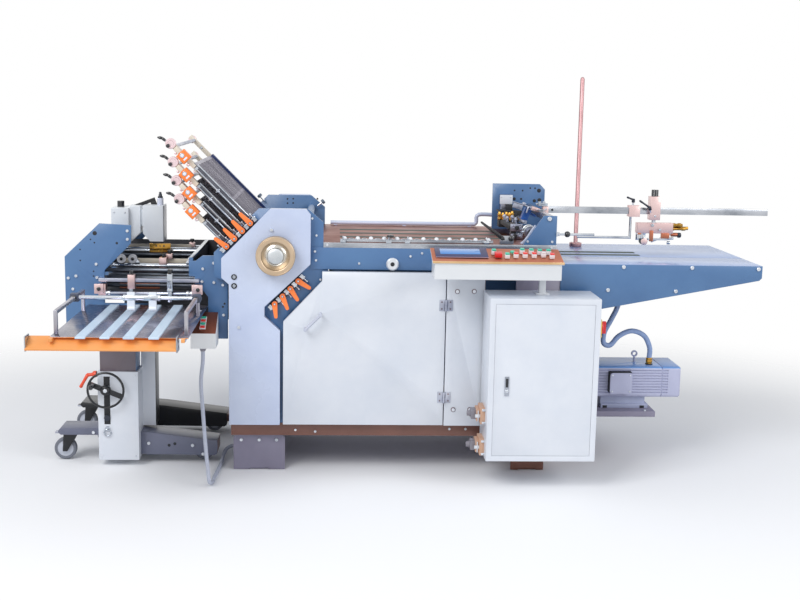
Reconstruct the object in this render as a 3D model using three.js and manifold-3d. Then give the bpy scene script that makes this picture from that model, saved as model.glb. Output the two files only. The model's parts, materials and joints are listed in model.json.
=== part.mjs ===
// Floor-standing paper folding machine: suction feeder and feed table on the right,
// register table, buckle folding unit, and a cross-fold delivery unit on a castered stand.
// Millimetres, +Z up, +X towards the feed end, +Y away from the operator.
// The origin is the middle of the left foot's pad, on the floor.
import * as THREE from 'three';
import { mergeVertices } from 'three/addons/utils/BufferGeometryUtils.js';
import Module from 'manifold-3d';

const wasm = await Module();
wasm.setup();

// Driving sizes of the whole machine
const halfDepth = 330; // outer faces of the two side plates
const footHeight = 140;
const railHeight = 50;
const housingHeight = 590; // from the rails to the register beams
const beamHeight = 81;
const tableRise = 19; // register surface above the beams
const coverReach = 35; // cover faces in front of the side plates
const frameLeft = -105;
const frameRight = 1130;
const foldLeft = -136; // left tip of the fold unit's covers
const foldRight = 191;
const foldTop = 1004;
const doorLeft = 92;
const hingeLine = 697;
const panelRight = 841;
const feedRight = 1902;
const feedTop = 810;

// Clearances and stock shared by many pieces
const seat = 0.3; // between faces that touch
const sheet = 3; // folded sheet steel
const overrun = 5; // how far a cutter passes the face it cuts
const roundSides = 24;
const smallSides = 12;

// Levels and faces worked out from the driving sizes
const sill = footHeight + railHeight;
const beamBottom = sill + housingHeight;
const beamTop = beamBottom + beamHeight;
const tableTop = beamTop + tableRise;
const coverFace = halfDepth + coverReach;
const quarter = Math.PI / 2;
const eighth = Math.PI / 4;

// Finishes
const finish = (color, roughness, metalness) =>
  new THREE.MeshStandardMaterial({ color, roughness, metalness });
const slateEnamel = finish(0x6f7688, 0.5, 0.1);
const blueEnamel = finish(0x4f6c92, 0.45, 0.1);
const paleEnamel = finish(0xd3def2, 0.4, 0.05);
const whiteEnamel = finish(0xe6eaee, 0.4, 0.05);
const copperTop = finish(0xa46a5c, 0.35, 0.4);
const steel = finish(0xc4cad2, 0.3, 0.9);
const darkSteel = finish(0x3c4048, 0.45, 0.6);
const blackPaint = finish(0x16181c, 0.5, 0.1);
const orangePlastic = finish(0xff7a2a, 0.4, 0);
const goldSteel = finish(0xc2a888, 0.3, 0.8);
const pinkAluminium = finish(0xdcb8ae, 0.35, 0.7);
const pumpEnamel = finish(0x7fa0b4, 0.5, 0.2);
const greyRubber = finish(0x9aa2b0, 0.7, 0);
const whiteNylon = finish(0xeef2f4, 0.5, 0);
const redPlastic = finish(0xe23b2c, 0.4, 0);
const greenPlastic = finish(0x2fae7c, 0.4, 0);

const machine = new THREE.Group();

// Turns a closed geometry into a solid: flat triangles go, and an inside-out shell is turned
function solid(geometry) {
  const bare = geometry.clone();
  for (const name of Object.keys(bare.attributes)) {
    if (name !== 'position') bare.deleteAttribute(name);
  }
  const merged = mergeVertices(bare);
  const spots = merged.attributes.position;
  const corner = (i) => new THREE.Vector3().fromBufferAttribute(spots, i);
  const faces = [];
  let volume = 0;
  for (let i = 0; i < merged.index.count; i += 3) {
    const [a, b, c] = [0, 1, 2].map((k) => merged.index.getX(i + k));
    if (a !== b && b !== c && c !== a) {
      faces.push([a, b, c]);
      volume += corner(a).dot(corner(b).cross(corner(c)));
    }
  }
  const outward = faces.map(([a, b, c]) => (volume < 0 ? [a, c, b] : [a, b, c]));
  return new wasm.Manifold(new wasm.Mesh({
    numProp: 3,
    vertProperties: new Float32Array(spots.array),
    triVerts: new Uint32Array(outward.flat()),
  }));
}

// Sums, cuts, and the way back into a mesh of the group
function join(...pieces) {
  return pieces.flat().reduce((sum, piece) => sum.add(piece));
}

function cut(body, ...tools) {
  return tools.flat().reduce((rest, tool) => rest.subtract(tool), body);
}

function place(name, body, material, x = 0, y = 0, z = 0, parent = machine) {
  const { vertProperties, triVerts, numProp } = body.getMesh();
  const geometry = new THREE.BufferGeometry();
  const positions = [];
  for (let i = 0; i < vertProperties.length; i += numProp) {
    positions.push(vertProperties[i], vertProperties[i + 1], vertProperties[i + 2]);
  }
  geometry.setAttribute('position', new THREE.Float32BufferAttribute(positions, 3));
  geometry.setIndex(Array.from(triVerts));
  geometry.computeVertexNormals();
  const mesh = new THREE.Mesh(geometry, material);
  mesh.name = name;
  mesh.position.set(x, y, z);
  parent.add(mesh);
  return mesh;
}

// Shapes that most pieces are made of
function block(x0, x1, y0, y1, z0, z1) {
  const box = new THREE.BoxGeometry(x1 - x0, y1 - y0, z1 - z0);
  box.translate((x0 + x1) / 2, (y0 + y1) / 2, (z0 + z1) / 2);
  return solid(box);
}

function extruded(points, depth) {
  const shape = new THREE.Shape(points.map(([u, v]) => new THREE.Vector2(u, v)));
  return new THREE.ExtrudeGeometry(shape, { depth, bevelEnabled: false });
}

function profileXZ(points, y0, y1) {
  const geometry = extruded(points, y1 - y0);
  geometry.rotateX(quarter);
  geometry.translate(0, y1, 0);
  return solid(geometry);
}

function profileYZ(points, x0, x1) {
  const geometry = extruded(points, x1 - x0);
  geometry.rotateX(quarter);
  geometry.rotateZ(quarter);
  geometry.translate(x0, 0, 0);
  return solid(geometry);
}

function alongY(x, z, radius, y0, y1, sides = roundSides) {
  const rod = new THREE.CylinderGeometry(radius, radius, y1 - y0, sides);
  rod.translate(x, (y0 + y1) / 2, z);
  return solid(rod);
}

function alongX(y, z, radius, x0, x1, sides = roundSides) {
  const rod = new THREE.CylinderGeometry(radius, radius, x1 - x0, sides);
  rod.rotateZ(quarter);
  rod.translate((x0 + x1) / 2, y, z);
  return solid(rod);
}

function alongZ(x, y, radius, z0, z1, sides = roundSides) {
  const rod = new THREE.CylinderGeometry(radius, radius, z1 - z0, sides);
  rod.rotateX(quarter);
  rod.translate(x, y, (z0 + z1) / 2);
  return solid(rod);
}

// A turned piece on a Y axis: profile points are [distance from the axis, y]
function turnedY(profile, sides = roundSides) {
  const points = profile.map(([r, y]) => new THREE.Vector2(r, y));
  return solid(new THREE.LatheGeometry(points, sides));
}

// A turned piece on a Z axis: profile points are [distance from the axis, z]
function turnedZ(profile, sides = smallSides) {
  const geometry = new THREE.LatheGeometry(profile.map(([r, z]) => new THREE.Vector2(r, z)), sides);
  geometry.rotateX(quarter);
  return solid(geometry);
}

// A round bar that follows a smooth path
function tube(points, radius, sides, steps) {
  const path = new THREE.CatmullRomCurve3(points.map((p) => new THREE.Vector3(...p)));
  const section = new THREE.Shape();
  section.absarc(0, 0, radius, 0, 2 * Math.PI);
  const ring = new THREE.Shape(section.getSpacedPoints(sides).slice(0, sides));
  return solid(new THREE.ExtrudeGeometry(ring, { steps, extrudePath: path, bevelEnabled: false }));
}

// An outline drawn in by a wall, for a shell that is open at the back
function inset(points, wall) {
  const count = points.length;
  return points.map((point, i) => {
    const before = points[(i + count - 1) % count];
    const after = points[(i + 1) % count];
    const a = new THREE.Vector2(point[0] - before[0], point[1] - before[1]).normalize();
    const b = new THREE.Vector2(after[0] - point[0], after[1] - point[1]).normalize();
    const normal = new THREE.Vector2(-a.y - b.y, a.x + b.x).normalize();
    const reach = wall / (normal.x * -a.y + normal.y * a.x);
    return [point[0] + normal.x * reach, point[1] + normal.y * reach];
  });
}

// A shallow folded-sheet cover: its outline runs anticlockwise in X and Z
function folded(points, yFace, yBack, wall) {
  const front = Math.min(yFace, yBack);
  const back = Math.max(yFace, yBack);
  const hollow = yFace < yBack
    ? profileXZ(inset(points, wall), front + wall, back + overrun)
    : profileXZ(inset(points, wall), front - overrun, back - wall);
  return cut(profileXZ(points, front, back), hollow);
}

// Base frame: two feet, long rails, floor pan, end posts, right-hand panel and pump shelf
const foot = {
  halfWidth: 98, setBack: 20, plate: 12, chamfer: 14, bodyHalf: 70, wall: 6,
  notchHalf: 35, notchRise: 6, window: 200, windowLow: 40, windowHigh: 100,
};
const rightFoot = { x: 1033, halfWidth: 64, bodyHalf: 44 };
const rail = { depth: 40, pan: 6 };
const post = { width: 50, depth: 40, inset: 12 };
const rightPanel = { thick: 6, slotLeft: 7, slotRight: 122, slotLow: 75, slotHigh: 35 };
const shelf = {
  reach: 410, low: 60, rib: 16, ribDepth: 40, plate: 6, front: 260, back: 80, gusset: 95,
};
const shelfTop = footHeight + shelf.low + shelf.rib + shelf.plate;

const footDepth = halfDepth - foot.setBack;
const footGland = { y: -150, z: 45, radius: 10 };

function footBody(x, halfWidth, bodyHalf, openSide) {
  const { chamfer, plate, wall, notchHalf, notchRise } = foot;
  const endPlate = [
    [x - halfWidth, 0], [x - notchHalf, 0], [x - notchHalf, notchRise], [x + notchHalf, notchRise],
    [x + notchHalf, 0], [x + halfWidth, 0], [x + halfWidth, footHeight - chamfer],
    [x + halfWidth - chamfer, footHeight], [x - halfWidth + chamfer, footHeight],
    [x - halfWidth, footHeight - chamfer],
  ];
  const inner = footDepth - plate;
  const ends = footDepth - plate / 2;
  const body = block(x - bodyHalf, x + bodyHalf, -ends, ends, 0, footHeight + rail.pan / 2);
  const hollow = block(x - bodyHalf + wall, x + bodyHalf - wall, -inner + wall, inner - wall,
    wall, footHeight - wall);
  const outside = x + openSide * (bodyHalf + overrun);
  const window = block(Math.min(x, outside), Math.max(x, outside), -foot.window, foot.window,
    foot.windowLow, foot.windowHigh);
  return join(
    cut(body, hollow, window),
    profileXZ(endPlate, -footDepth, -inner),
    profileXZ(endPlate, inner, footDepth),
  );
}

function baseFrame() {
  const inner = halfDepth - rail.depth;
  const rails = [
    block(frameLeft, frameRight, -halfDepth, -inner, footHeight, sill),
    block(frameLeft, frameRight, inner, halfDepth, footHeight, sill),
    block(frameLeft, frameLeft + rail.depth, -inner, inner, footHeight, sill),
    block(panelRight - rail.depth, panelRight, -inner, inner, footHeight, sill),
    block(frameRight - post.width, frameRight, -inner, inner, footHeight, sill),
    block(frameLeft, frameRight, -inner, inner, footHeight, footHeight + rail.pan),
  ];
  const postFace = halfDepth - post.inset;
  const posts = [
    block(frameRight - post.width, frameRight, -postFace, -postFace + post.depth, sill - overrun,
      beamTop - post.inset),
    block(frameRight - post.width, frameRight, postFace - post.depth, postFace, sill - overrun,
      beamTop - post.inset),
  ];
  const panel = cut(
    block(panelRight, frameRight, -halfDepth, -halfDepth + rightPanel.thick, sill - overrun,
      beamBottom - seat),
    block(panelRight + rightPanel.slotLeft, panelRight + rightPanel.slotRight,
      -halfDepth - overrun, -halfDepth + rightPanel.thick + overrun,
      beamBottom - rightPanel.slotLow, beamBottom - rightPanel.slotHigh),
  );
  const panelTie = block(frameRight - post.width, frameRight,
    -halfDepth, -postFace + overrun, sill, sill + post.width);
  const ribLow = footHeight + shelf.low;
  const ribTop = ribLow + shelf.rib;
  const arm = (y0) => join(
    block(frameRight - overrun, frameRight + shelf.reach, y0, y0 + shelf.ribDepth, ribLow, ribTop),
    profileXZ([[frameRight - overrun, footHeight], [frameRight + shelf.gusset, ribLow + overrun],
      [frameRight - overrun, ribLow + overrun]], y0, y0 + shelf.ribDepth),
  );
  const shelfPlate = block(frameRight - overrun, frameRight + shelf.reach, -shelf.front, shelf.back,
    ribTop, shelfTop);
  const shelfWall = block(frameRight - post.width, frameRight, -shelf.front, shelf.back,
    sill - overrun, shelfTop);
  return join(
    footBody(0, foot.halfWidth, foot.bodyHalf, 1),
    footBody(rightFoot.x, rightFoot.halfWidth, rightFoot.bodyHalf, -1),
    rails, posts, panel, panelTie,
    arm(-shelf.front), arm(shelf.back - shelf.ribDepth), shelfPlate, shelfWall,
    alongX(footGland.y, footGland.z, footGland.radius, -foot.halfWidth, foot.wall / 2 - foot.bodyHalf,
      smallSides),
  );
}
place('base_frame', baseFrame(), slateEnamel);

// Fold unit outlines: the cover's 45 degree edges carry the two rows of clamp levers
const cover = {
  lowLeft: -109, lowRight: 80, leftLow: 723, leftMid: 747, leftHigh: 819,
  topLeft: 44, topRight: 174, rightHigh: 984, rightLow: 801,
  notchX: 22, notchHigh: 640, notchLow: 603, notchFoot: 550,
};
const coverOutline = [
  [cover.lowLeft, sill], [cover.lowRight, sill], [cover.lowRight, cover.notchFoot],
  [cover.notchX, cover.notchLow], [cover.notchX, cover.notchHigh],
  [foldRight, cover.rightLow], [foldRight, cover.rightHigh], [cover.topRight, foldTop],
  [cover.topLeft, foldTop], [foldLeft, cover.leftHigh], [foldLeft, cover.leftMid],
  [cover.lowLeft, cover.leftLow],
];

// Rollers lie on the handwheel's axis and one diagonal step below it
const wheelAxis = { x: 65, z: 836 };
const roller = { radius: 25, journal: 15, gap: 0.6, clearance: 0.3, endGap: 1, sides: 16 };
const rollerStep = (2 * roller.radius + roller.gap) / Math.SQRT2;
const lowRoller = { x: wheelAxis.x - rollerStep, z: wheelAxis.z - rollerStep };

// Clamp levers: two rows of four, along the cover's upper left and lower right edges
const clamp = {
  count: 4, pitch: 41, offset: 14, long: 48, tipRadius: 7, hubRadius: 11, thick: 11,
  standOff: 15, pin: 4, boss: 10.5, upperX: -31, lowerX: 146,
};
const diagonal = clamp.pitch / Math.SQRT2;
const outOfEdge = clamp.offset * Math.SQRT2;
const upperFirst = { x: clamp.upperX, z: clamp.upperX + foldTop - cover.topLeft + outOfEdge };
const lowerFirst = { x: clamp.lowerX, z: clamp.lowerX + cover.rightLow - foldRight - outOfEdge };
const upperAngles = [137, 135, 137, 145];
const lowerAngles = [-31, -57, -68, -84];
const clampPivots = [];
for (let i = 0; i < clamp.count; i += 1) {
  clampPivots.push({ x: upperFirst.x - i * diagonal, z: upperFirst.z - i * diagonal });
}
for (let i = 0; i < clamp.count; i += 1) {
  clampPivots.push({ x: lowerFirst.x - i * diagonal, z: lowerFirst.z - i * diagonal });
}

// Side frames: two side plates with the register beams on them, joined by tie bars
const sidePlate = {
  thick: 12, right: 255, topRight: 181, shoulder: 238, shoulderZ: 954, edgeOut: 30, low: 0.3,
  topDrop: 2, tie: 15,
};
const beam = { thick: 12, out: 5, right: 1110 };
function sidePlates() {
  const rise = foldTop - sidePlate.topDrop;
  const out = sidePlate.edgeOut * Math.SQRT2;
  const left = frameLeft;
  const diagonalAt = foldTop - cover.topLeft + out;
  const plateLeft = foldLeft - sidePlate.edgeOut;
  const outline = [
    [left, sill + sidePlate.low], [sidePlate.right, sill + sidePlate.low],
    [sidePlate.right, beamTop], [sidePlate.shoulder, beamTop], [sidePlate.shoulder, sidePlate.shoulderZ],
    [sidePlate.topRight, rise], [rise - diagonalAt, rise],
    [plateLeft, plateLeft + diagonalAt], [plateLeft, cover.leftMid], [left, cover.leftLow],
  ];
  const inner = halfDepth - sidePlate.thick;
  const beamFace = halfDepth + beam.out;
  const tieEnd = halfDepth - overrun / 2;
  const bores = [wheelAxis, lowRoller].map((axis) => alongY(axis.x, axis.z,
    roller.journal + roller.clearance, -coverFace, coverFace));
  const ties = [
    [left + rail.depth, sill + rail.depth], [sidePlate.right - rail.depth, sill + rail.depth],
    [sidePlate.topRight, sidePlate.shoulderZ],
    [beam.right - post.width - 2 * sidePlate.tie, beamBottom + beamHeight / 2],
  ].map(([x, z]) => alongY(x, z, sidePlate.tie, -tieEnd, tieEnd, smallSides));
  const bosses = clampPivots.map((pivot) => alongY(pivot.x, pivot.z, clamp.boss,
    -halfDepth - clamp.standOff, -halfDepth + overrun, smallSides));
  const pins = clampPivots.map((pivot) => alongY(pivot.x, pivot.z, clamp.pin,
    -halfDepth - clamp.standOff - clamp.thick, -halfDepth, smallSides));
  const plates = join(
    profileXZ(outline, -halfDepth, -inner), profileXZ(outline, inner, halfDepth),
    block(foldRight + seat, beam.right, -beamFace, -beamFace + beam.thick, beamBottom, beamTop),
    block(foldRight + seat, beam.right, beamFace - beam.thick, beamFace, beamBottom, beamTop),
    ties, bosses, pins,
  );
  return cut(plates, bores);
}
place('side_frames', sidePlates(), blueEnamel);

// Front and rear covers of the fold unit
const shaftHole = { radius: 19 };
const shaftHoleCut = alongY(wheelAxis.x, wheelAxis.z, shaftHole.radius, -coverFace - overrun, 0);
const frontCover = cut(folded(coverOutline, -coverFace, -halfDepth - seat, sheet), shaftHoleCut);
place('front_cover', frontCover, paleEnamel);
place('rear_cover', folded(coverOutline, coverFace, halfDepth + seat, sheet), paleEnamel);

// Fold rollers, turned between the side plates
function foldRoller(journalFront) {
  const inner = halfDepth - sidePlate.thick - roller.endGap;
  return turnedY([
    [0, -journalFront], [roller.journal, -journalFront], [roller.journal, -inner],
    [roller.radius, -inner], [roller.radius, inner], [roller.journal, inner],
    [roller.journal, halfDepth], [0, halfDepth],
  ], roller.sides);
}
const journalEnd = halfDepth + coverReach / 3;
place('fold_roller_1', foldRoller(journalEnd), darkSteel, wheelAxis.x, 0, wheelAxis.z);
place('fold_roller_2', foldRoller(halfDepth), darkSteel, lowRoller.x, 0, lowRoller.z);

// Gold handwheel on the main roller's shaft, in front of the cover
const handwheel = {
  radius: 72, rim: 20, depth: 40, standOff: 20, web: 12, cone: 50, dome: 29, shaft: 15,
};
function mainHandwheel() {
  const back = -coverFace - handwheel.standOff;
  const front = back - handwheel.depth;
  const rimInner = handwheel.radius - handwheel.rim;
  return turnedY([
    [0, front], [handwheel.dome, front + handwheel.web / 2], [handwheel.cone, front + handwheel.rim],
    [rimInner, front + handwheel.rim], [rimInner, front + sheet], [rimInner + sheet, front],
    [handwheel.radius - sheet, front], [handwheel.radius, front + sheet], [handwheel.radius, back],
    [handwheel.shaft, back], [handwheel.shaft, -journalEnd - seat], [0, -journalEnd - seat],
  ]);
}
place('handwheel', mainHandwheel(), goldSteel, wheelAxis.x, 0, wheelAxis.z);

// Clamp levers: a round hub with a bored pin hole and a tapering arm, turned about Y
const leverHoleGap = 0.3;
function clampLever(angle) {
  const { hubRadius, tipRadius, long, thick } = clamp;
  const arm = [[0, -hubRadius], [long, -tipRadius], [long, tipRadius], [0, hubRadius]];
  const body = cut(
    join(profileXZ(arm, 0, thick), alongY(0, 0, hubRadius, 0, thick, smallSides),
      alongY(long, 0, tipRadius, 0, thick, smallSides)),
    alongY(0, 0, clamp.pin + leverHoleGap, -overrun, thick + overrun, smallSides),
  );
  return body.rotate([0, -angle, 0]);
}
const leverBack = -halfDepth - clamp.standOff - seat;
clampPivots.forEach((pivot, i) => {
  const upper = i < clamp.count;
  const row = upper ? 'upper' : 'lower';
  const number = (i % clamp.count) + 1;
  const angle = upper ? upperAngles[i] : lowerAngles[i - clamp.count];
  place(`${row}_lever_${number}`, clampLever(angle), orangePlastic,
    pivot.x, leverBack - clamp.thick, pivot.z);
});

// Upper buckle plates: drawn flat, then tipped 45 degrees down to the right
const plate = {
  half: halfDepth - sidePlate.thick - seat, rail: 12, thick: 16, bars: 9, barWide: 6, barThick: 8,
  cross: 14, mouth: 60,
  armOut: 20, armLong: 39, counterAt: 46, counterLong: 40, counterHalf: 19, counterDeep: 32,
  spindle: 5, gridStart: 105, armStart: 21, lugEnd: -9, boreGap: 0.4, tubeAt: 14, tube: 6.5,
};
const heads = [
  { x: -317, z: 1234 }, { x: -309, z: 1168 }, { x: -298, z: 1101 }, { x: -288, z: 1034 },
];
const coverEdge = foldTop - cover.topLeft; // z minus x along the cover's upper left edge
const plateLength = (head) => Math.round((head.z - head.x - coverEdge) / Math.SQRT2 + plate.mouth);
const spindleFace = plate.half + plate.armOut;
function bucklePlate(head) {
  const long = plateLength(head);
  const { half, thick, cross, gridStart } = plate;
  const rails = [
    block(gridStart, long, -half, -half + plate.rail, -thick / 2, thick / 2),
    block(plate.lugEnd, long, half - plate.rail, half, -thick / 2, thick / 2),
  ];
  const crossAt = [gridStart, (gridStart + long) / 2, long - cross];
  const crosses = crossAt.map((u) => block(u, u + cross, -half, half,
    -plate.barThick / 2, plate.barThick / 2));
  const bars = [];
  const pitch = (2 * half) / (plate.bars + 1);
  for (let i = 1; i <= plate.bars; i += 1) {
    const v = -half + i * pitch;
    bars.push(block(gridStart, long, v - plate.barWide / 2, v + plate.barWide / 2,
      -plate.barThick / 2, plate.barThick / 2));
  }
  const innerFace = -half + plate.rail;
  const tube = alongY(plate.tubeAt, 0, plate.tube, innerFace - overrun, half - plate.rail + overrun, smallSides);
  const arm = block(plate.armStart, plate.armStart + plate.armLong, -spindleFace - plate.counterDeep / 2,
    innerFace, -thick / 2, thick / 2);
  const lug = block(plate.lugEnd, gridStart + cross, -spindleFace, innerFace, -thick / 2, thick / 2);
  const bore = alongY(0, 0, plate.spindle + plate.boreGap, -spindleFace - overrun, innerFace + overrun,
    smallSides);
  const counter = block(plate.counterAt, plate.counterAt + plate.counterLong,
    -spindleFace - plate.counterDeep / 2, -half - sheet, -plate.counterHalf, plate.counterHalf);
  return cut(join(rails, crosses, bars, tube, arm, lug, counter), bore);
}
const crank = {
  disc: 19.5, thick: 14, gripRadius: 4, gripEnd: -38, gripOff: -6, knob: 6, knobLong: 16, shaftLong: 26,
};
function plateCrank() {
  const face = -plate.boreGap;
  const middle = face - crank.thick / 2;
  const disc = alongY(0, 0, crank.disc, face - crank.thick, face);
  const grip = alongX(middle, crank.gripOff, crank.gripRadius, crank.gripEnd, -overrun, smallSides);
  const knob = alongX(middle, crank.gripOff, crank.knob, crank.gripEnd - crank.knobLong,
    crank.gripEnd + sheet, smallSides);
  const shaft = alongY(0, 0, plate.spindle, face - overrun, crank.shaftLong, smallSides);
  return join(disc, grip, knob, shaft);
}
heads.forEach((head, i) => {
  const tipped = new THREE.Group();
  tipped.position.set(head.x, 0, head.z);
  tipped.rotation.y = eighth;
  machine.add(tipped);
  place(`buckle_plate_${i + 1}`, bucklePlate(head), darkSteel, 0, 0, 0, tipped);
  place(`plate_crank_${i + 1}`, plateCrank(), pinkAluminium, 0, -spindleFace, 0, tipped);
});

// Lower buckle plates hang inside the housing, behind the access door
const lowerPlates = { count: 4, mouth: 60, long: 230, inset: 17.7, thick: 12, tie: 20, lug: 24 };
function lowerBucklePlates() {
  const { count, long, thick, tie } = lowerPlates;
  const half = plate.half - lowerPlates.inset;
  const slabs = [];
  for (let i = 0; i < count; i += 1) {
    const w = -i * clamp.pitch;
    slabs.push(block(0, long, -half, half, w - thick / 2, w + thick / 2));
  }
  const low = -(count - 1) * clamp.pitch;
  const ties = [-half, half - tie].map((y) =>
    block(long - tie, long, y, y + tie, low, 0));
  const lugs = [[-plate.half, -half + sheet], [half - sheet, plate.half]].map(([y0, y1]) =>
    block(0, lowerPlates.lug, y0, y1, low, 0));
  return join(slabs, ties, lugs);
}
const lowerGroup = new THREE.Group();
const lowerStart = lowerPlates.mouth / Math.SQRT2;
const nestLine = { x: (lowerFirst.x + lowerFirst.z - (wheelAxis.z - wheelAxis.x)) / 2 };
lowerGroup.position.set(nestLine.x + lowerStart, 0, lowerFirst.x + lowerFirst.z - nestLine.x - lowerStart);
lowerGroup.rotation.y = eighth;
machine.add(lowerGroup);
place('lower_buckle_plates', lowerBucklePlates(), darkSteel, 0, 0, 0, lowerGroup);

// Housing panels: the access door on two hinges, the fixed panel and the rear panel
const skin = { thick: 25, wall: 2, gap: 2, topDrop: 6 };
const door = {
  lowLeft: 585, diagonalX: 235, diagonalZ: 739, handleX: 174, handleZ: 561, handleSpan: 79,
  handleOut: 34, handleRadius: 6,
};
const hinge = {
  low: 111, high: 463, half: 21, radius: 6, leaf: 3, leafWide: 19, axisOut: 6, splitGap: 0.4,
};
const panelTop = beamBottom - skin.topDrop;
const panelFront = -coverFace;
const hingeAxis = { x: hingeLine, y: panelFront - hinge.axisOut };
const hingeHeights = [sill + hinge.low, sill + hinge.high];
function hingeHalf(side, z) {
  const { radius, half, leaf, leafWide, splitGap } = hinge;
  const lowEnd = side < 0 ? z + splitGap : z - half;
  const highEnd = side < 0 ? z + half : z - splitGap;
  const inner = hingeAxis.x + side * splitGap;
  const outer = hingeAxis.x + side * (radius + leafWide);
  const x0 = Math.min(inner, outer);
  const x1 = Math.max(inner, outer);
  const wholeX0 = side < 0 ? x0 : hingeAxis.x + radius + splitGap;
  const wholeX1 = side < 0 ? hingeAxis.x - radius - splitGap : x1;
  return join(
    alongZ(hingeAxis.x, hingeAxis.y, radius, lowEnd, highEnd, smallSides),
    block(x0, x1, panelFront - leaf, panelFront + skin.wall / 2, lowEnd, highEnd),
    block(wholeX0, wholeX1, panelFront - leaf, panelFront + skin.wall / 2, z - half, z + half),
  );
}
const panelBack = panelFront + skin.thick;
const doorRight = hingeLine - skin.gap;
function accessDoor() {
  const outline = [
    [doorLeft, sill + skin.gap], [doorRight, sill + skin.gap], [doorRight, panelTop],
    [door.diagonalX, panelTop], [door.diagonalX, door.diagonalZ], [doorLeft, door.lowLeft],
  ];
  const reach = door.handleSpan / Math.SQRT2 / 2;
  const ends = [-1, 1].map((s) => [door.handleX + reach + s * reach, door.handleZ + reach + s * reach]);
  const out = panelFront - door.handleOut;
  const r = door.handleRadius;
  const legs = ends.map(([x, z]) => alongY(x, z, r, out - r, panelFront + skin.wall / 2, smallSides));
  const grip = alongX(0, 0, r, 0, door.handleSpan, smallSides).rotate([0, -45, 0])
    .translate([ends[0][0], out, ends[0][1]]);
  return join(folded(outline, panelFront, panelBack, skin.wall), legs, grip,
    hingeHeights.map((z) => hingeHalf(-1, z)));
}
place('access_door', accessDoor(), whiteEnamel);

function fixedPanel() {
  const left = hingeLine + skin.gap;
  const outline = [[left, sill + seat], [panelRight, sill + seat], [panelRight, panelTop], [left, panelTop]];
  const tabs = [sill + seat, panelTop - post.width].map((z) => block(panelRight - rail.depth,
    panelRight - seat, panelFront + skin.wall / 2, -halfDepth + rightPanel.thick, z, z + post.width));
  return join(folded(outline, panelFront, panelBack, skin.wall), tabs,
    hingeHeights.map((z) => hingeHalf(1, z)));
}
place('fixed_panel', fixedPanel(), whiteEnamel);

function rearPanel() {
  const left = sidePlate.right + skin.gap;
  const right = frameRight - post.width - seat;
  const outline = [[left, sill + seat], [right, sill + seat], [right, beamBottom - seat],
    [left, beamBottom - seat]];
  return folded(outline, halfDepth, halfDepth - skin.thick, skin.wall);
}
place('rear_panel', rearPanel(), blueEnamel);

// Register table: copper-brown surface on square bars, with the rear air rail
const table = { left: 200, thick: 8, lap: 2.5, bar: 20 };
const tableHalf = halfDepth + beam.out - table.bar + table.lap;
const airRail = {
  inset: 17.5, radius: 8.5, left: 262, bend: 872, right: 969, rise: 41, lift: 11, foot: 14, steps: 14,
};
const airRailY = tableHalf - airRail.inset;
function registerTable() {
  const beamFace = halfDepth + beam.out;
  const left = sidePlate.shoulder + seat;
  const plateLow = tableTop - table.thick;
  const bars = [
    block(left, beam.right, -beamFace, -beamFace + table.bar, beamTop + seat, tableTop),
    block(left, beam.right, beamFace - table.bar, beamFace, beamTop + seat, tableTop),
  ];
  const railZ = tableTop + airRail.lift;
  const r = airRail.radius;
  const straight = alongX(airRailY, railZ, r, airRail.left, airRail.bend, smallSides);
  const bend = tube([
    [airRail.bend - r, airRailY, railZ], [airRail.bend, airRailY, railZ],
    [airRail.bend + r, airRailY, railZ + r], [airRail.bend + r, airRailY, railZ + airRail.rise - r],
    [airRail.bend + 2 * r, airRailY, railZ + airRail.rise], [airRail.right, airRailY, railZ + airRail.rise],
  ], r, smallSides, airRail.steps);
  const footAt = [airRail.left + airRail.foot, (airRail.left + airRail.bend) / 2,
    airRail.bend - 2 * airRail.foot];
  const feet = footAt.map((x) => block(x, x + airRail.foot, airRailY - r / 2, airRailY + r / 2,
    plateLow, railZ));
  return join(block(table.left, beam.right, -tableHalf, tableHalf, plateLow, tableTop),
    bars, straight, bend, feet);
}
place('register_table', registerTable(), copperTop);

const ballRail = {
  left: 300, right: 872, inset: 4.5, half: 10, thick: 8, ball: 9, pitch: 49, count: 12, sides: 8,
};
const ballRailY = ballRail.inset - tableHalf;
function ballRailBody() {
  const low = tableTop + seat;
  const first = (ballRail.left + ballRail.right - (ballRail.count - 1) * ballRail.pitch) / 2;
  const balls = [];
  for (let i = 0; i < ballRail.count; i += 1) {
    const ball = new THREE.SphereGeometry(ballRail.ball, ballRail.sides, ballRail.sides / 2);
    ball.rotateX(quarter);
    ball.translate(first + i * ballRail.pitch, ballRailY, low + ballRail.thick + ballRail.ball / 2);
    balls.push(solid(ball));
  }
  return join(block(ballRail.left, ballRail.right, ballRailY - ballRail.half,
    ballRailY + ballRail.half, low, low + ballRail.thick), balls);
}
place('ball_rail', ballRailBody(), steel);

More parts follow.
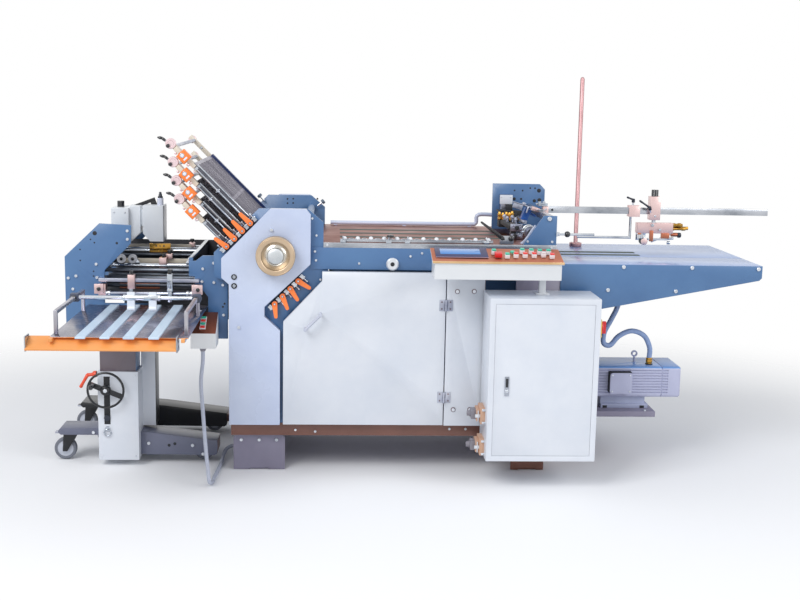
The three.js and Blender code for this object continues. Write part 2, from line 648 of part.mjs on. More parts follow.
// Electrical cabinet on two brackets, with an inset door and a rotary main switch
const cabinet = {
  left: 836, width: 400, depth: 200, height: 600, low: 115, standOff: 45, wall: 3, border: 20,
  gap: 0.8, doorThick: 16, doorWall: 2, bracket: 34, bracketLow: 85, bracketHigh: 520, bracketInset: 12,
  lockX: 60, lockZ: 280, lockHalf: 8, lockTall: 35, lockOut: 4,
};
const cabinetRight = cabinet.left + cabinet.width;
const cabinetTop = cabinet.low + cabinet.height;
const cabinetBack = -halfDepth - cabinet.standOff;
const cabinetFront = cabinetBack - cabinet.depth;
const mainSwitch = {
  y: 35, z: 493, knob: 23, thick: 22, barHalf: 6, plate: 32, plateThick: 4, shaft: 6, hole: 6.3,
};
const switchAxis = { y: cabinetFront + mainSwitch.y, z: cabinet.low + mainSwitch.z };
function cabinetBody() {
  const { wall, border } = cabinet;
  const shell = cut(
    block(cabinet.left, cabinetRight, cabinetFront, cabinetBack, cabinet.low, cabinetTop),
    block(cabinet.left + wall, cabinetRight - wall, cabinetFront + wall, cabinetBack - wall,
      cabinet.low + wall, cabinetTop - wall),
    block(cabinet.left + border, cabinetRight - border, cabinetFront - overrun, cabinetFront + wall + overrun,
      cabinet.low + border, cabinetTop - border),
  );
  const brackets = [cabinet.bracketLow, cabinet.bracketHigh].map((z) => block(
    cabinet.left + cabinet.bracketInset, cabinetRight - 2 * post.width - cabinet.border,
    cabinetBack - overrun / 2, -halfDepth - seat, cabinet.low + z, cabinet.low + z + cabinet.bracket));
  const plateHalf = mainSwitch.plate;
  const switchPlate = block(cabinetRight - overrun / 2, cabinetRight + mainSwitch.plateThick,
    switchAxis.y - plateHalf, switchAxis.y + plateHalf, switchAxis.z - plateHalf, switchAxis.z + plateHalf);
  const bore = alongX(switchAxis.y, switchAxis.z, mainSwitch.hole,
    cabinetRight - 4 * overrun, cabinetRight + 2 * overrun, smallSides);
  return cut(join(shell, brackets, switchPlate), bore);
}
place('cabinet_body', cabinetBody(), whiteEnamel);

const doorEdge = cabinet.border + cabinet.gap;
const cabinetHingeX = cabinetRight - doorEdge;
function cabinetDoor() {
  const x0 = cabinet.left + doorEdge;
  const z0 = cabinet.low + doorEdge;
  const z1 = cabinetTop - doorEdge;
  const outline = [[x0, z0], [cabinetHingeX, z0], [cabinetHingeX, z1], [x0, z1]];
  const lockX = cabinet.left + cabinet.lockX;
  const lockZ = cabinet.low + cabinet.lockZ;
  return join(
    folded(outline, cabinetFront, cabinetFront + cabinet.doorThick, cabinet.doorWall),
    block(lockX, lockX + 2 * cabinet.lockHalf, cabinetFront - cabinet.lockOut,
      cabinetFront + cabinet.doorWall / 2,
      lockZ - cabinet.lockTall, lockZ + cabinet.lockTall),
  );
}
place('cabinet_door', cabinetDoor(), whiteEnamel);

function mainSwitchKnob() {
  const { knob, thick, barHalf, shaft, plateThick } = mainSwitch;
  const start = cabinetRight + plateThick + seat;
  return join(
    alongX(0, 0, knob, 0, thick / 2),
    block(0, thick, -barHalf, barHalf, -knob, knob),
    alongX(0, 0, shaft, -plateThick - 2 * overrun, overrun / 2, smallSides),
  ).translate([start, 0, 0]);
}
place('main_switch', mainSwitchKnob(), redPlastic, 0, switchAxis.y, switchAxis.z);

// Control box: a sloped console on a square post that stands on the cabinet
const consoleBox = {
  left: 634, width: 455, overlap: 10, depth: 130, low: 780, faceHeight: 63, slopeRise: 32,
  lid: 4, lidSide: 8, postInset: 50, postHalf: 12, postSet: 83, flangeHalf: 24, flange: 5,
};
const consoleRight = consoleBox.left + consoleBox.width;
const consolePost = consoleRight - consoleBox.postInset;
const consoleFront = cabinetFront + consoleBox.overlap;
const consolePostY = cabinetBack - consoleBox.postSet;
const slope = Math.atan(consoleBox.slopeRise / consoleBox.depth);
const consoleTopFront = consoleBox.low + consoleBox.faceHeight;
const button = {
  travel: 3, gap: 0.4, head: 9, headHigh: 7, stem: 5, stemLong: 14, well: 12, stopHalf: 13, stopHigh: 15,
  stopInset: 224, startInset: 168, stopAlong: 46, startAlong: 84,
};
const stopAt = { x: consoleRight - button.stopInset, along: button.stopAlong };
const startAt = { x: consoleRight - button.startInset, along: button.startAlong };
function consoleBody() {
  const b = consoleBox;
  const back = consoleFront + b.depth;
  const body = profileYZ([[consoleFront, b.low], [back, b.low], [back, consoleTopFront + b.slopeRise],
    [consoleFront, consoleTopFront]], b.left, consoleRight);
  const nose = consoleFront - b.lid;
  const noseTop = consoleTopFront - b.lid * Math.tan(slope) + b.lid / 2;
  const lidOutline = [
    [nose, noseTop - 2 * b.lid], [back, consoleTopFront + b.slopeRise - b.lid / 2],
    [back, consoleTopFront + b.slopeRise + b.lid / 2], [nose, noseTop],
  ];
  const lid = profileYZ(lidOutline, b.left - b.lidSide, consoleRight + b.lidSide);
  const pole = block(consolePost - b.postHalf, consolePost + b.postHalf, consolePostY - b.postHalf,
    consolePostY + b.postHalf, cabinetTop + seat, b.low + overrun);
  const flange = block(consolePost - b.flangeHalf, consolePost + b.flangeHalf, consolePostY - b.flangeHalf,
    consolePostY + b.flangeHalf, cabinetTop + seat, cabinetTop + seat + b.flange);
  const well = ({ x, along }, half) => block(-half, half, -half, half, -button.well, button.well)
    .rotate([slope * 180 / Math.PI, 0, 0])
    .translate([x, consoleFront + along * Math.cos(slope), consoleTopFront + along * Math.sin(slope)]);
  return cut(join(body, lid, pole, flange), well(stopAt, button.stem + button.gap),
    well(startAt, button.stem + button.gap));
}
place('control_box', consoleBody(), copperTop);

function panelButton(name, spot, head, material) {
  const tilted = new THREE.Group();
  tilted.position.set(spot.x, consoleFront + spot.along * Math.cos(slope),
    consoleTopFront + spot.along * Math.sin(slope));
  tilted.rotation.x = slope;
  machine.add(tilted);
  const lift = consoleBox.lid / 2 + button.travel + button.gap;
  const stem = block(-button.stem, button.stem, -button.stem, button.stem,
    lift - button.stemLong + button.travel, lift + sheet);
  place(name, join(stem, head.translate([0, 0, lift])), material, 0, 0, 0, tilted);
}
const stopHead = block(-button.stopHalf, button.stopHalf, -button.stopHalf, button.stopHalf,
  0, button.stopHigh);
const startHead = alongZ(0, 0, button.head, 0, button.headHigh, smallSides);
panelButton('stop_button', stopAt, stopHead, redPlastic);
panelButton('start_button', startAt, startHead, greenPlastic);

// Feeder frame: rear plate, front plate and cross bars that carry the suction wheel and gauge bar
const feeder = {
  rearSet: 95, rearThick: 8, rearLeft: 938, rearRight: 1158, rearTop: 1070, corner: 22,
  frontThick: 8, frontSet: 1, frontTopLeft: 1058, frontRight: 1108, frontTop: 990, frontLeft: 984,
  shaft: 10, shaftX: 1040, shaftZ: 908, barX: 1078, barWide: 20, barLow: 962, barHigh: 988,
  blockX: 990, blockWide: 44, blockLow: 962, blockHigh: 1026, blockDeep: 60,
};
const feederRear = halfDepth - feeder.rearSet;
const feederFront = feeder.frontSet - halfDepth - beam.out;
const feederFoot = beamTop + tableRise + seat;
function feederFrame() {
  const f = feeder;
  const rear = profileXZ([
    [f.rearLeft, feederFoot], [f.rearRight, feederFoot], [f.rearRight, f.rearTop - f.corner],
    [f.rearRight - f.corner, f.rearTop], [f.rearLeft, f.rearTop],
  ], feederRear, feederRear + f.rearThick);
  const front = profileXZ([
    [f.frontLeft, feederFoot], [f.frontRight, feederFoot], [f.frontRight, f.frontTop],
    [f.frontTopLeft, f.frontTop],
  ], feederFront, feederFront + f.frontThick);
  const low = feederFront + overrun / 2;
  const high = feederRear + overrun / 2;
  const shaft = alongY(f.shaftX, f.shaftZ, f.shaft, low, high, smallSides);
  const bar = block(f.barX, f.barX + f.barWide, low, high, f.barLow, f.barHigh);
  const valve = block(f.blockX - f.blockWide / 2, f.blockX + f.blockWide / 2,
    feederRear - f.blockDeep, high, f.blockLow, f.blockHigh);
  return join(rear, front, shaft, bar, valve);
}
place('feeder_frame', feederFrame(), blueEnamel);

const suction = { y: -120, radius: 26, half: 22, bore: 10.4, groove: 3, grooveHalf: 4 };
function suctionWheel() {
  const { radius, half, bore, groove, grooveHalf } = suction;
  return turnedY([
    [bore, -half], [radius, -half], [radius, -grooveHalf], [radius - groove, -grooveHalf],
    [radius - groove, grooveHalf], [radius, grooveHalf], [radius, half], [bore, half], [bore, -half],
  ], roller.sides);
}
place('suction_wheel', suctionWheel(), steel, feeder.shaftX, suction.y, feeder.shaftZ);

// Feed table: a long tapering sheet-steel box bolted to the end posts
const feed = {
  halfWidth: halfDepth + sheet, wall: 4, nose: 46, noseCut: 10, bellyX: 1293, belly: 170,
  manifoldX: 1392, manifoldHalf: 20, manifoldDrop: 110, manifoldY: -200, tab: 60,
  seamY: -100, seamHalf: 1.5, seamDeep: 1.5,
};
function feedTable() {
  const f = feed;
  const low = feedTop - f.belly;
  const left = frameRight + seat;
  const outline = [
    [left, low], [f.bellyX, low], [feedRight - f.noseCut, feedTop - f.nose - f.noseCut],
    [feedRight, feedTop - f.nose], [feedRight, feedTop], [left, feedTop],
  ];
  const solidBox = profileXZ(outline, -f.halfWidth, f.halfWidth);
  const hollow = profileXZ(inset(outline, f.wall), -f.halfWidth + f.wall, f.halfWidth - f.wall);
  const open = block(left + 2 * f.tab, feedRight - 2 * f.tab, -f.halfWidth + f.tab, f.halfWidth - f.tab,
    low - overrun, feedTop - f.tab / 2);
  const manifold = block(f.manifoldX - f.manifoldHalf, f.manifoldX + f.manifoldHalf,
    f.manifoldY - f.manifoldHalf, f.manifoldY + f.manifoldHalf,
    feedTop - f.manifoldDrop, feedTop - f.wall / 2);
  const seam = block(left - overrun, feedRight + overrun, f.seamY - f.seamHalf, f.seamY + f.seamHalf,
    feedTop - f.seamDeep, feedTop + overrun);
  return join(cut(solidBox, hollow, open, seam), manifold);
}
place('feed_table', feedTable(), blueEnamel);

// Gauge bar, its sliding carriage and the tall stack rod
const gauge = {
  y: -65, left: 1108, right: 2003, low: 978, high: 1004, half: 6, clampBlock: 40, stopX: 1463, stopWide: 44,
  stopLow: 968, stopHigh: 1012, rod: 5, rodX: 1452, rodLow: 884, rodEnd: 1240, stopHalf: 17,
};
function gaugeBar() {
  const g = gauge;
  const barLeft = feeder.barX + feeder.barWide + seat;
  return join(
    block(barLeft, g.right, g.y - g.half, g.y + g.half, g.low, g.high),
    block(barLeft, barLeft + g.clampBlock / 2, g.y - g.clampBlock / 2, g.y + g.clampBlock / 2,
      feeder.barLow, g.high),
    block(g.stopX - g.stopWide / 2, g.stopX + g.stopWide / 2, g.y - g.stopHalf, g.y + g.stopHalf,
      g.stopLow, g.stopHigh),
    alongZ(g.rodX, g.y, g.rod, g.rodLow - g.rod, g.stopLow + overrun, smallSides),
    alongX(g.y, g.rodLow, g.rod, g.rodEnd, g.rodX + g.rod / 2, smallSides),
  );
}
place('gauge_bar', gaugeBar(), steel);

const carriage = {
  x: 1545, wide: 42, low: 956, high: 1049, half: 18, fit: 0.4, stem: 8, bodyLeft: -68, bodyRight: 76,
  bodyLow: 903, bodyHigh: 944, knob: 14, knobHigh: 26, fitting: 7, fittingLong: 64, wheel: 14,
  wheelDrop: 33, wheelX: -38,
};
function gaugeCarriage() {
  const c = carriage;
  const y = gauge.y;
  const slot = block(-c.wide, c.wide, y - gauge.half - c.fit, y + gauge.half + c.fit,
    gauge.low - c.fit, gauge.high + c.fit);
  const body = cut(block(-c.wide / 2, c.wide / 2, y - c.half, y + c.half, c.low, c.high), slot);
  const bodyMid = (c.bodyLow + c.bodyHigh) / 2;
  return join(
    body,
    alongZ(0, y, c.stem, c.bodyLow, c.low + overrun, smallSides),
    alongZ(0, y, c.knob, c.high - overrun / 2, c.high + c.knobHigh, smallSides),
    block(c.bodyLeft, c.bodyRight, y - c.half, y + c.half, c.bodyLow, c.bodyHigh),
    alongX(y, bodyMid, c.fitting, c.bodyRight - overrun, c.bodyRight + c.fittingLong, smallSides),
    block(c.wheelX - c.wheel / 2, c.wheelX + c.wheel / 2, y - c.stem, y + c.stem,
      c.bodyLow - c.wheelDrop, c.bodyLow + overrun),
    alongY(c.wheelX, c.bodyLow - c.wheelDrop, c.wheel, y - c.half, y + c.half, smallSides),
  );
}
place('gauge_carriage', gaugeCarriage(), pinkAluminium, carriage.x, 0, 0);

const stackRod = { x: 1297, inset: 98, radius: 9, top: 1515, flange: 26, flangeHigh: 16 };
function stackRodBody() {
  const r = stackRod;
  const low = feedTop + seat;
  return turnedZ([[0, low], [r.flange, low], [r.flange, low + r.flangeHigh], [r.radius, low + r.flangeHigh],
    [r.radius, r.top - r.radius],
    [r.radius * Math.SQRT1_2, r.top - r.radius * (1 - Math.SQRT1_2)], [0, r.top]]);
}
place('stack_rod', stackRodBody(), steel, stackRod.x, feed.halfWidth - stackRod.inset, 0);

// Vacuum pump on the shelf: a boxy finned casing with an end cover, on two rails
const pump = {
  left: 1300, seamX: 1570, right: 1646, y: -120, half: 95, lift: 45, tall: 123, round: 12, seam: 4,
  seamDeep: 3, fins: 9, finPitch: 11, finGap: 5, finDeep: 4, finLow: 18, finEnd: 1597, railLeft: 1336,
  railRight: 1523,
  railHigh: 16, railInset: 10, beamInset: 22, boxLeft: 1361, boxRight: 1448, boxLift: 65, boxTall: 83,
  boxOut: 25, boxRound: 10, portX: 1530, portY: -165, portRadius: 11, portOut: 28, eye: 13, bore: 7,
  eyeX: 1481, eyeOut: 34, stalk: 4,
};
const pumpBase = shelfTop + seat;
const pumpLow = pumpBase + pump.lift;
const pumpTop = pumpLow + pump.tall;
const cornerSteps = 3;
function roundedBox(u0, u1, v0, v1, radius) {
  const corners = [[u1 - radius, v0 + radius, -quarter], [u1 - radius, v1 - radius, 0],
    [u0 + radius, v1 - radius, quarter], [u0 + radius, v0 + radius, Math.PI]];
  return corners.flatMap(([u, v, start]) => Array.from({ length: cornerSteps + 1 }, (_, k) => {
    const angle = start + k * quarter / cornerSteps;
    return [u + radius * Math.cos(angle), v + radius * Math.sin(angle)];
  }));
}
function vacuumPump() {
  const p = pump;
  const casing = (x0, x1, shrink) => profileYZ(roundedBox(p.y - p.half + shrink, p.y + p.half - shrink,
    pumpLow + shrink, pumpTop - shrink, p.round), x0, x1);
  const grooves = [];
  for (let i = 0; i < p.fins; i += 1) {
    const z = pumpLow + p.finLow + i * p.finPitch;
    for (const side of [-1, 1]) {
      const face = p.y + side * (p.half - p.finDeep);
      const out = face + side * 2 * p.finDeep;
      const [y0, y1] = [Math.min(face, out), Math.max(face, out)];
      grooves.push(block(p.left - overrun, p.finEnd, y0, y1, z, z + p.finGap));
    }
  }
  const body = cut(join(casing(p.left, p.seamX, 0), casing(p.seamX - p.seam, p.right, p.seamDeep),
    casing(p.seamX + p.seam, p.right - p.seam, 0)), grooves);
  const boxLow = pumpBase + p.boxLift;
  const box = profileXZ(roundedBox(p.boxLeft, p.boxRight, boxLow, boxLow + p.boxTall, p.boxRound),
    p.y - p.half - p.boxOut, p.y - p.half / 2);
  const rails = block(p.railLeft, p.railRight, p.y - p.half + p.railInset, p.y + p.half - p.railInset,
    pumpBase, pumpBase + p.railHigh);
  const beam = block(p.railLeft, p.railRight - p.railInset,
    p.y - p.half + p.beamInset, p.y + p.half - p.beamInset, pumpBase, pumpLow + p.round);
  const port = alongZ(p.portX, p.portY, p.portRadius, pumpLow, pumpTop + p.portOut, smallSides);
  const eyeZ = pumpTop + p.eyeOut;
  const eye = cut(alongY(p.eyeX, eyeZ, p.eye, p.y - p.stalk, p.y + p.stalk, smallSides),
    alongY(p.eyeX, eyeZ, p.bore, p.y - 2 * p.stalk, p.y + 2 * p.stalk, smallSides));
  const stalk = alongZ(p.eyeX, p.y, p.stalk, pumpLow, eyeZ - p.bore - overrun, smallSides);
  return join(body, box, rails, beam, port, eye, stalk);
}
place('vacuum_pump', vacuumPump(), pumpEnamel);

// Suction hose from the pump's port up to the feed table's manifold
const hose = { radius: 10, sides: 10, steps: 26 };
const manifoldFace = feedTop - feed.manifoldDrop;
const hosePoints = [
  [pump.portX, pump.portY, pumpTop + pump.portOut + seat], [pump.portX, pump.portY, 456],
  [1504, -168, 506], [1452, -174, 526], [1400, -180, 506], [1364, -186, 470], [1340, -190, 478],
  [1338, -194, 520], [1362, -197, 574], [1382, -200, 620], [feed.manifoldX, feed.manifoldY, 664],
  [feed.manifoldX, feed.manifoldY, manifoldFace - seat],
];
place('air_hose', tube(hosePoints, hose.radius, hose.sides, hose.steps), greyRubber);

// Delivery stand: two castered legs joined by cross beams, with a box column on the front leg
const stand = {
  swivelX: -730, axleX: -222, frontY: -175, rearY: 240, legHalf: 55, wall: 5, tip: -775, legRight: -166,
  legTop: 136, legLow: 110, knee: -625, kneeLow: 40, bellyX: -428, belly: 34, shoulder: 121, endLow: 31,
  endHigh: 88, chamfer: 10, stem: 8, stemGap: 0.4, boss: 16, axle: 6, beamLeft: -600, beamRight: -470,
  beamLow: 60, dockLow: 45, dockHigh: 75, dockHalf: 22,
};
const column = {
  left: -612, right: -460, front: -275, back: -155, low: 24, high: 370, wall: 8, floor: 70,
  slotX: -577.5, slotHalf: 8.5, slotLow: 168, slotHigh: 348, rearRight: -410, rearDeep: 90, rearHigh: 457,
  rearLap: 10, leverZ: 347, leverY: -215, pin: 5, pinBoss: 11, bossOut: 14, pinEnd: -640,
};
const wheel = { swivel: 43, fixed: 36, half: 13, hub: 17, bore: 6.4, gap: 4, trail: 28 };
function standLeg(y) {
  const s = stand;
  const outline = [
    [s.tip, s.legLow + s.chamfer], [s.tip + s.chamfer, s.legLow], [s.knee, s.legLow],
    [s.beamLeft, s.kneeLow], [s.bellyX, s.belly], [s.legRight - s.chamfer, s.endLow],
    [s.legRight, s.endLow + s.chamfer], [s.legRight, s.endHigh], [s.bellyX, s.shoulder],
    [column.left, s.legTop], [s.tip + s.chamfer, s.legTop], [s.tip, s.legTop - s.chamfer],
  ];
  const slotReach = wheel.fixed + wheel.gap;
  const slotHalf = wheel.hub + seat;
  const shell = cut(
    profileXZ(outline, y - s.legHalf, y + s.legHalf),
    profileXZ(inset(outline, s.wall), y - s.legHalf + s.wall, y + s.legHalf - s.wall),
  );
  const cheeks = block(s.axleX - slotReach, s.legRight - s.wall / 2, y - s.legHalf + s.wall / 2,
    y + s.legHalf - s.wall / 2, s.endLow + s.wall / 2, s.endHigh - s.wall / 2);
  const slot = block(s.axleX - slotReach, s.axleX + slotReach, y - slotHalf, y + slotHalf,
    -overrun, wheel.fixed + slotReach);
  const pinHalf = slotHalf + overrun;
  const pin = alongY(s.axleX, wheel.fixed, s.axle, y - pinHalf, y + pinHalf, smallSides);
  const boss = alongZ(s.swivelX, y, s.boss, s.legLow + sheet, s.legTop - sheet, smallSides);
  const stemHole = alongZ(s.swivelX, y, s.stem + s.stemGap, s.legLow - overrun,
    s.legTop - s.wall, smallSides);
  return cut(join(cut(join(shell, cheeks), slot), pin, boss), stemHole);
}
function standBase() {
  const s = stand;
  const beams = [[s.beamLeft, s.beamLeft + post.width], [s.beamRight - post.width, s.beamRight]]
    .map(([x0, x1]) => block(x0, x1, s.frontY + s.legHalf - s.wall / 2, s.rearY - s.legHalf + s.wall / 2,
      s.beamLow, s.legLow));
  const dock = block(s.legRight - s.wall / 2, -foot.bodyHalf - seat, s.rearY - s.dockHalf,
    s.rearY + s.dockHalf, s.dockLow, s.dockHigh);
  const room = block(column.left - seat, column.right + seat, column.front - seat, column.back + seat,
    0, column.high);
  return cut(join(standLeg(s.frontY), standLeg(s.rearY), beams, dock), room);
}
place('stand_base', standBase(), slateEnamel);

function standColumn() {
  const c = column;
  const box = cut(
    block(c.left, c.right, c.front, c.back, c.low, c.high),
    block(c.left + c.wall, c.right - c.wall, c.front + c.wall, c.back - c.wall, c.floor, c.high + overrun),
    block(c.slotX - c.slotHalf, c.slotX + c.slotHalf, c.front - overrun, c.front + c.wall + overrun,
      c.slotLow, c.slotHigh),
  );
  const rear = block(c.right - overrun, c.rearRight, c.back - c.rearLap, c.back - c.rearLap + c.rearDeep,
    stand.shoulder + c.rearLap, c.rearHigh);
  const leverZ = c.leverZ;
  return join(box, rear,
    alongX(c.leverY, leverZ, c.pinBoss, c.left - c.bossOut, c.left + c.wall / 2, smallSides),
    alongX(c.leverY, leverZ, c.pin, c.pinEnd, c.left, smallSides));
}
place('stand_column', standColumn(), whiteEnamel);

const clampHandle = { hub: 13, bore: 5.3, thick: 15, grip: 6, reachX: -52, reachZ: -44, steps: 6, sides: 8 };
function standClampLever() {
  const h = clampHandle;
  const start = column.left - column.bossOut - seat;
  const hub = alongX(0, 0, h.hub, start - h.thick, start, smallSides);
  const gripStart = start - h.thick / 2;
  const grip = tube([
    [gripStart, 0, -h.hub + sheet], [gripStart + h.reachX / 3, 0, -h.hub],
    [gripStart + h.reachX, 0, -h.hub / 2 + h.reachZ],
  ], h.grip, h.sides, h.steps);
  return cut(join(hub, grip), alongX(0, 0, h.bore, column.pinEnd - seat, start + overrun, smallSides));
}
place('stand_clamp_lever', standClampLever(), orangePlastic, 0, column.leverY, column.leverZ);

// Casters: two swivel forks under the left ends, with two fixed wheels in the right ends
const fork = {
  plate: 32, plateThick: 8, cheekThick: 4, cheekWide: 18, boss: 22, pedalLong: 34,
  pedalHalf: 13, pedalThick: 6,
};
function casterFork() {
  const f = fork;
  const top = stand.legLow - seat;
  const low = wheel.swivel;
  const inner = wheel.hub + seat;
  const cheekLow = low - f.cheekWide / 2;
  const cheekTop = top - f.plateThick / 2;
  const cheeks = [-inner - f.cheekThick, inner].map((y) => profileXZ([
    [-wheel.trail - f.cheekWide / 2, cheekLow], [-wheel.trail + f.cheekWide / 2, cheekLow],
    [f.boss, cheekTop], [-f.plate, cheekTop],
  ], y, y + f.cheekThick));
  const plateBlock = block(-f.plate, f.boss, -inner - f.cheekThick, inner + f.cheekThick,
    top - f.plateThick, top);
  const pedal = block(-f.plate - f.pedalLong, -f.plate + overrun, -f.pedalHalf, f.pedalHalf,
    top - f.pedalThick, top);
  const axle = alongY(-wheel.trail, low, stand.axle, -inner - f.cheekThick / 2, inner + f.cheekThick / 2,
    smallSides);
  const stemTop = stand.legTop - stand.wall - sheet;
  const stem = alongZ(0, 0, stand.stem, cheekTop, stemTop, smallSides);
  return join(cheeks, plateBlock, pedal, axle, stem);
}
const wheelSides = 16;
function casterWheel(radius) {
  const { half, hub, bore } = wheel;
  return turnedY([
    [bore, -hub], [hub, -hub], [hub, -half], [radius - sheet, -half], [radius, -half + sheet],
    [radius, half - sheet], [radius - sheet, half], [hub, half], [hub, hub], [bore, hub], [bore, -hub],
  ], wheelSides);
}
for (const [row, y] of [['front', stand.frontY], ['rear', stand.rearY]]) {
  place(`caster_fork_${row}`, casterFork(), blackPaint, stand.swivelX, y, 0);
  place(`caster_wheel_${row}_left`, casterWheel(wheel.swivel), greyRubber,
    stand.swivelX - wheel.trail, y, wheel.swivel);
  place(`caster_wheel_${row}_right`, casterWheel(wheel.fixed), greyRubber, stand.axleX, y, wheel.fixed);
}

// Delivery head: side plates, tie bars and the inner column that slides in the stand
const head = {
  front: -300, plate: 12, yoke: 40, yokeLow: 500, innerLow: 180, innerGap: 0.6, innerWall: 5,
  bridgeLeft: -585, bridgeRight: -530, bridgeLow: 850, bridgeHigh: 890,
};
const leftCheek = {
  left: -717, low: 557, leftHigh: 811, nose: -574, noseHigh: 735, step: -571, stepHigh: 762,
  shoulder: -474, shoulderHigh: 862, brow: -472, browHigh: 930, crown: -589, crownHigh: 935,
};
const rightCheek = {
  left: -191, right: -118, low: 506, rightHigh: 818, brow: -144, browHigh: 821, crown: -211,
  crownHigh: 820, nose: -240, noseHigh: 797, noseLow: 713, chin: -212, chinHigh: 692, throat: 665,
};
const leftPlate = [
  [leftCheek.left, leftCheek.low], [leftCheek.nose, leftCheek.low],
  [leftCheek.nose, leftCheek.noseHigh], [leftCheek.step, leftCheek.stepHigh],
  [leftCheek.shoulder, leftCheek.shoulderHigh], [leftCheek.brow, leftCheek.browHigh],
  [leftCheek.crown, leftCheek.crownHigh], [leftCheek.left, leftCheek.leftHigh],
];
const rightPlate = [
  [rightCheek.left, rightCheek.low], [rightCheek.right, rightCheek.low],
  [rightCheek.right, rightCheek.rightHigh], [rightCheek.brow, rightCheek.browHigh],
  [rightCheek.crown, rightCheek.crownHigh], [rightCheek.nose, rightCheek.noseHigh],
  [rightCheek.nose, rightCheek.noseLow], [rightCheek.chin, rightCheek.chinHigh],
  [rightCheek.left, rightCheek.throat],
];
const rods = {
  barY: -320, barHalf: 6, barZ: 729, barLeft: -590, barRight: -222, rodZ: 679, rod: 6, endWide: 26,
  endLow: 668, endHigh: 713, tieLeft: -600, tieRight: -262, tieWide: 15, tieLow: 742, tieHigh: 812,
  round: 7, roundZ: [756, 800, 798], roundY: [-100, 0, 150], disc: 15, discHalf: 8, discX: [-547, -488, -281],
  railLeft: -428,
};
const wheelPin = {
  z: 304, radius: 7, front: -310, stud: 6, washer: 12, studZ: 191, washerThick: 6, lift: 1,
};
function knifeFrame() {
  const back = head.front + head.plate;
  const inX = column.wall + head.innerGap;
  const x0 = column.left + inX;
  const x1 = column.right - inX;
  const y0 = column.front + inX;
  const y1 = column.back - inX;
  const w = head.innerWall;
  const inner = cut(block(x0, x1, y0, y1, head.innerLow, head.yokeLow + overrun),
    block(x0 + w, x1 - w, y0 + w, y1 - w, head.innerLow - overrun, head.yokeLow));
  const yoke = block(x0, x1, back - overrun / 2, -back + overrun / 2, head.yokeLow, head.yokeLow + head.yoke);
  const hangerTop = leftCheek.low + 2 * head.yoke;
  const hanger = block(x0, x1, head.front, back, head.yokeLow, hangerTop);
  const hangerRear = block(x0, x1, -back, -head.front, head.yokeLow, hangerTop);
  const plates = [leftPlate, rightPlate].flatMap((outline) => [
    profileXZ(outline, head.front, back), profileXZ(outline, -back, -head.front)]);
  const bridge = block(head.bridgeLeft, head.bridgeRight, back - overrun / 2, -back + overrun / 2,
    head.bridgeLow, head.bridgeHigh);
  const endBack = head.front + head.plate / 2;
  const ends = [rods.barLeft, rods.barRight - rods.endWide].map((x) => join(
    block(x, x + rods.endWide, rods.barY - 2 * rods.barHalf, endBack, rods.endLow, rods.endHigh),
    block(x, x + rods.endWide, rods.barY - rods.barHalf, endBack,
      rods.barZ - rods.barHalf, rods.barZ + rods.barHalf),
  ));
  const bar = block(rods.barLeft, rods.barRight, rods.barY - rods.barHalf, rods.barY + rods.barHalf,
    rods.barZ - rods.barHalf, rods.barZ + rods.barHalf);
  const frontRod = alongX(rods.barY, rods.rodZ, rods.rod, rods.barLeft + sheet,
    rods.barRight - sheet, smallSides);
  const ties = [rods.tieLeft, rods.tieRight].map((x) => block(x, x + rods.tieWide, back - overrun / 2,
    -back + overrun / 2, rods.tieLow, rods.tieHigh));
  const tieRods = rods.roundY.map((y, i) => alongX(y, rods.roundZ[i], rods.round,
    rods.tieLeft + sheet, rods.tieRight + rods.tieWide - sheet, smallSides));
  const discs = rods.discX.map((x) => alongY(x, rods.roundZ[0] + rods.disc / 2, rods.disc,
    rods.roundY[0] - rods.discHalf, rods.roundY[0] + rods.discHalf, smallSides));
  const reachRight = rightCheek.nose + overrun;
  const reachTop = rods.tieHigh - head.plate;
  const reach = block(rods.tieRight, reachRight, head.front, back, rods.tieLow, reachTop);
  const reachRear = block(rods.railLeft, reachRight, -back, -head.front, rods.tieLow, reachTop);
  const studY = column.front - wheelPin.lift;
  const stud = join(
    alongY(column.slotX, wheelPin.studZ, wheelPin.stud, studY - wheelPin.washerThick, y0 + w / 2, smallSides),
    alongY(column.slotX, wheelPin.studZ, wheelPin.washer, studY - wheelPin.washerThick, studY, smallSides));
  const pin = alongY(column.slotX, wheelPin.z, wheelPin.radius, wheelPin.front, y0 + w / 2, smallSides);
  return join(inner, yoke, hanger, hangerRear, plates, bridge, ends, bar, frontRod, ties, tieRods, discs,
    reach, reachRear, stud, pin);
}
place('knife_frame', knifeFrame(), blueEnamel);

// Covers of the cross-fold knife, on the bridge between the left plates
const knife = {
  boxLeft: -588, boxRight: -521, boxHigh: 971, boxHalf: 60, wedgeHalf: 40, coverHalf: 50, knob: 14,
  knobX: -560, knobHigh: 24, linkLeft: -485, linkRight: -460, linkLow: 900, linkHigh: 965, linkHalf: 30,
  sensorLeft: -417, sensorRight: -395, sensorHalf: 11, sensorHigh: 1008, wedgeLeft: -524,
  wedgeRight: -479, wedgeLow: 832, wedgeShoulder: 874, wedgeTop: 978, coverLeft: -468, coverTip: -441,
  coverRight: -389, coverLow: 841, coverShoulder: 872, coverTop: 981,
};
const knifeWedge = [
  [knife.wedgeLeft, knife.wedgeLow], [knife.wedgeRight, knife.wedgeShoulder],
  [knife.wedgeRight, knife.wedgeTop], [knife.wedgeLeft, knife.wedgeTop],
];
const knifeCoverOutline = [
  [knife.coverLeft, knife.coverShoulder], [knife.coverTip, knife.coverLow],
  [knife.coverRight, knife.coverLow], [knife.coverRight, knife.coverTop],
  [knife.coverLeft, knife.coverTop],
];
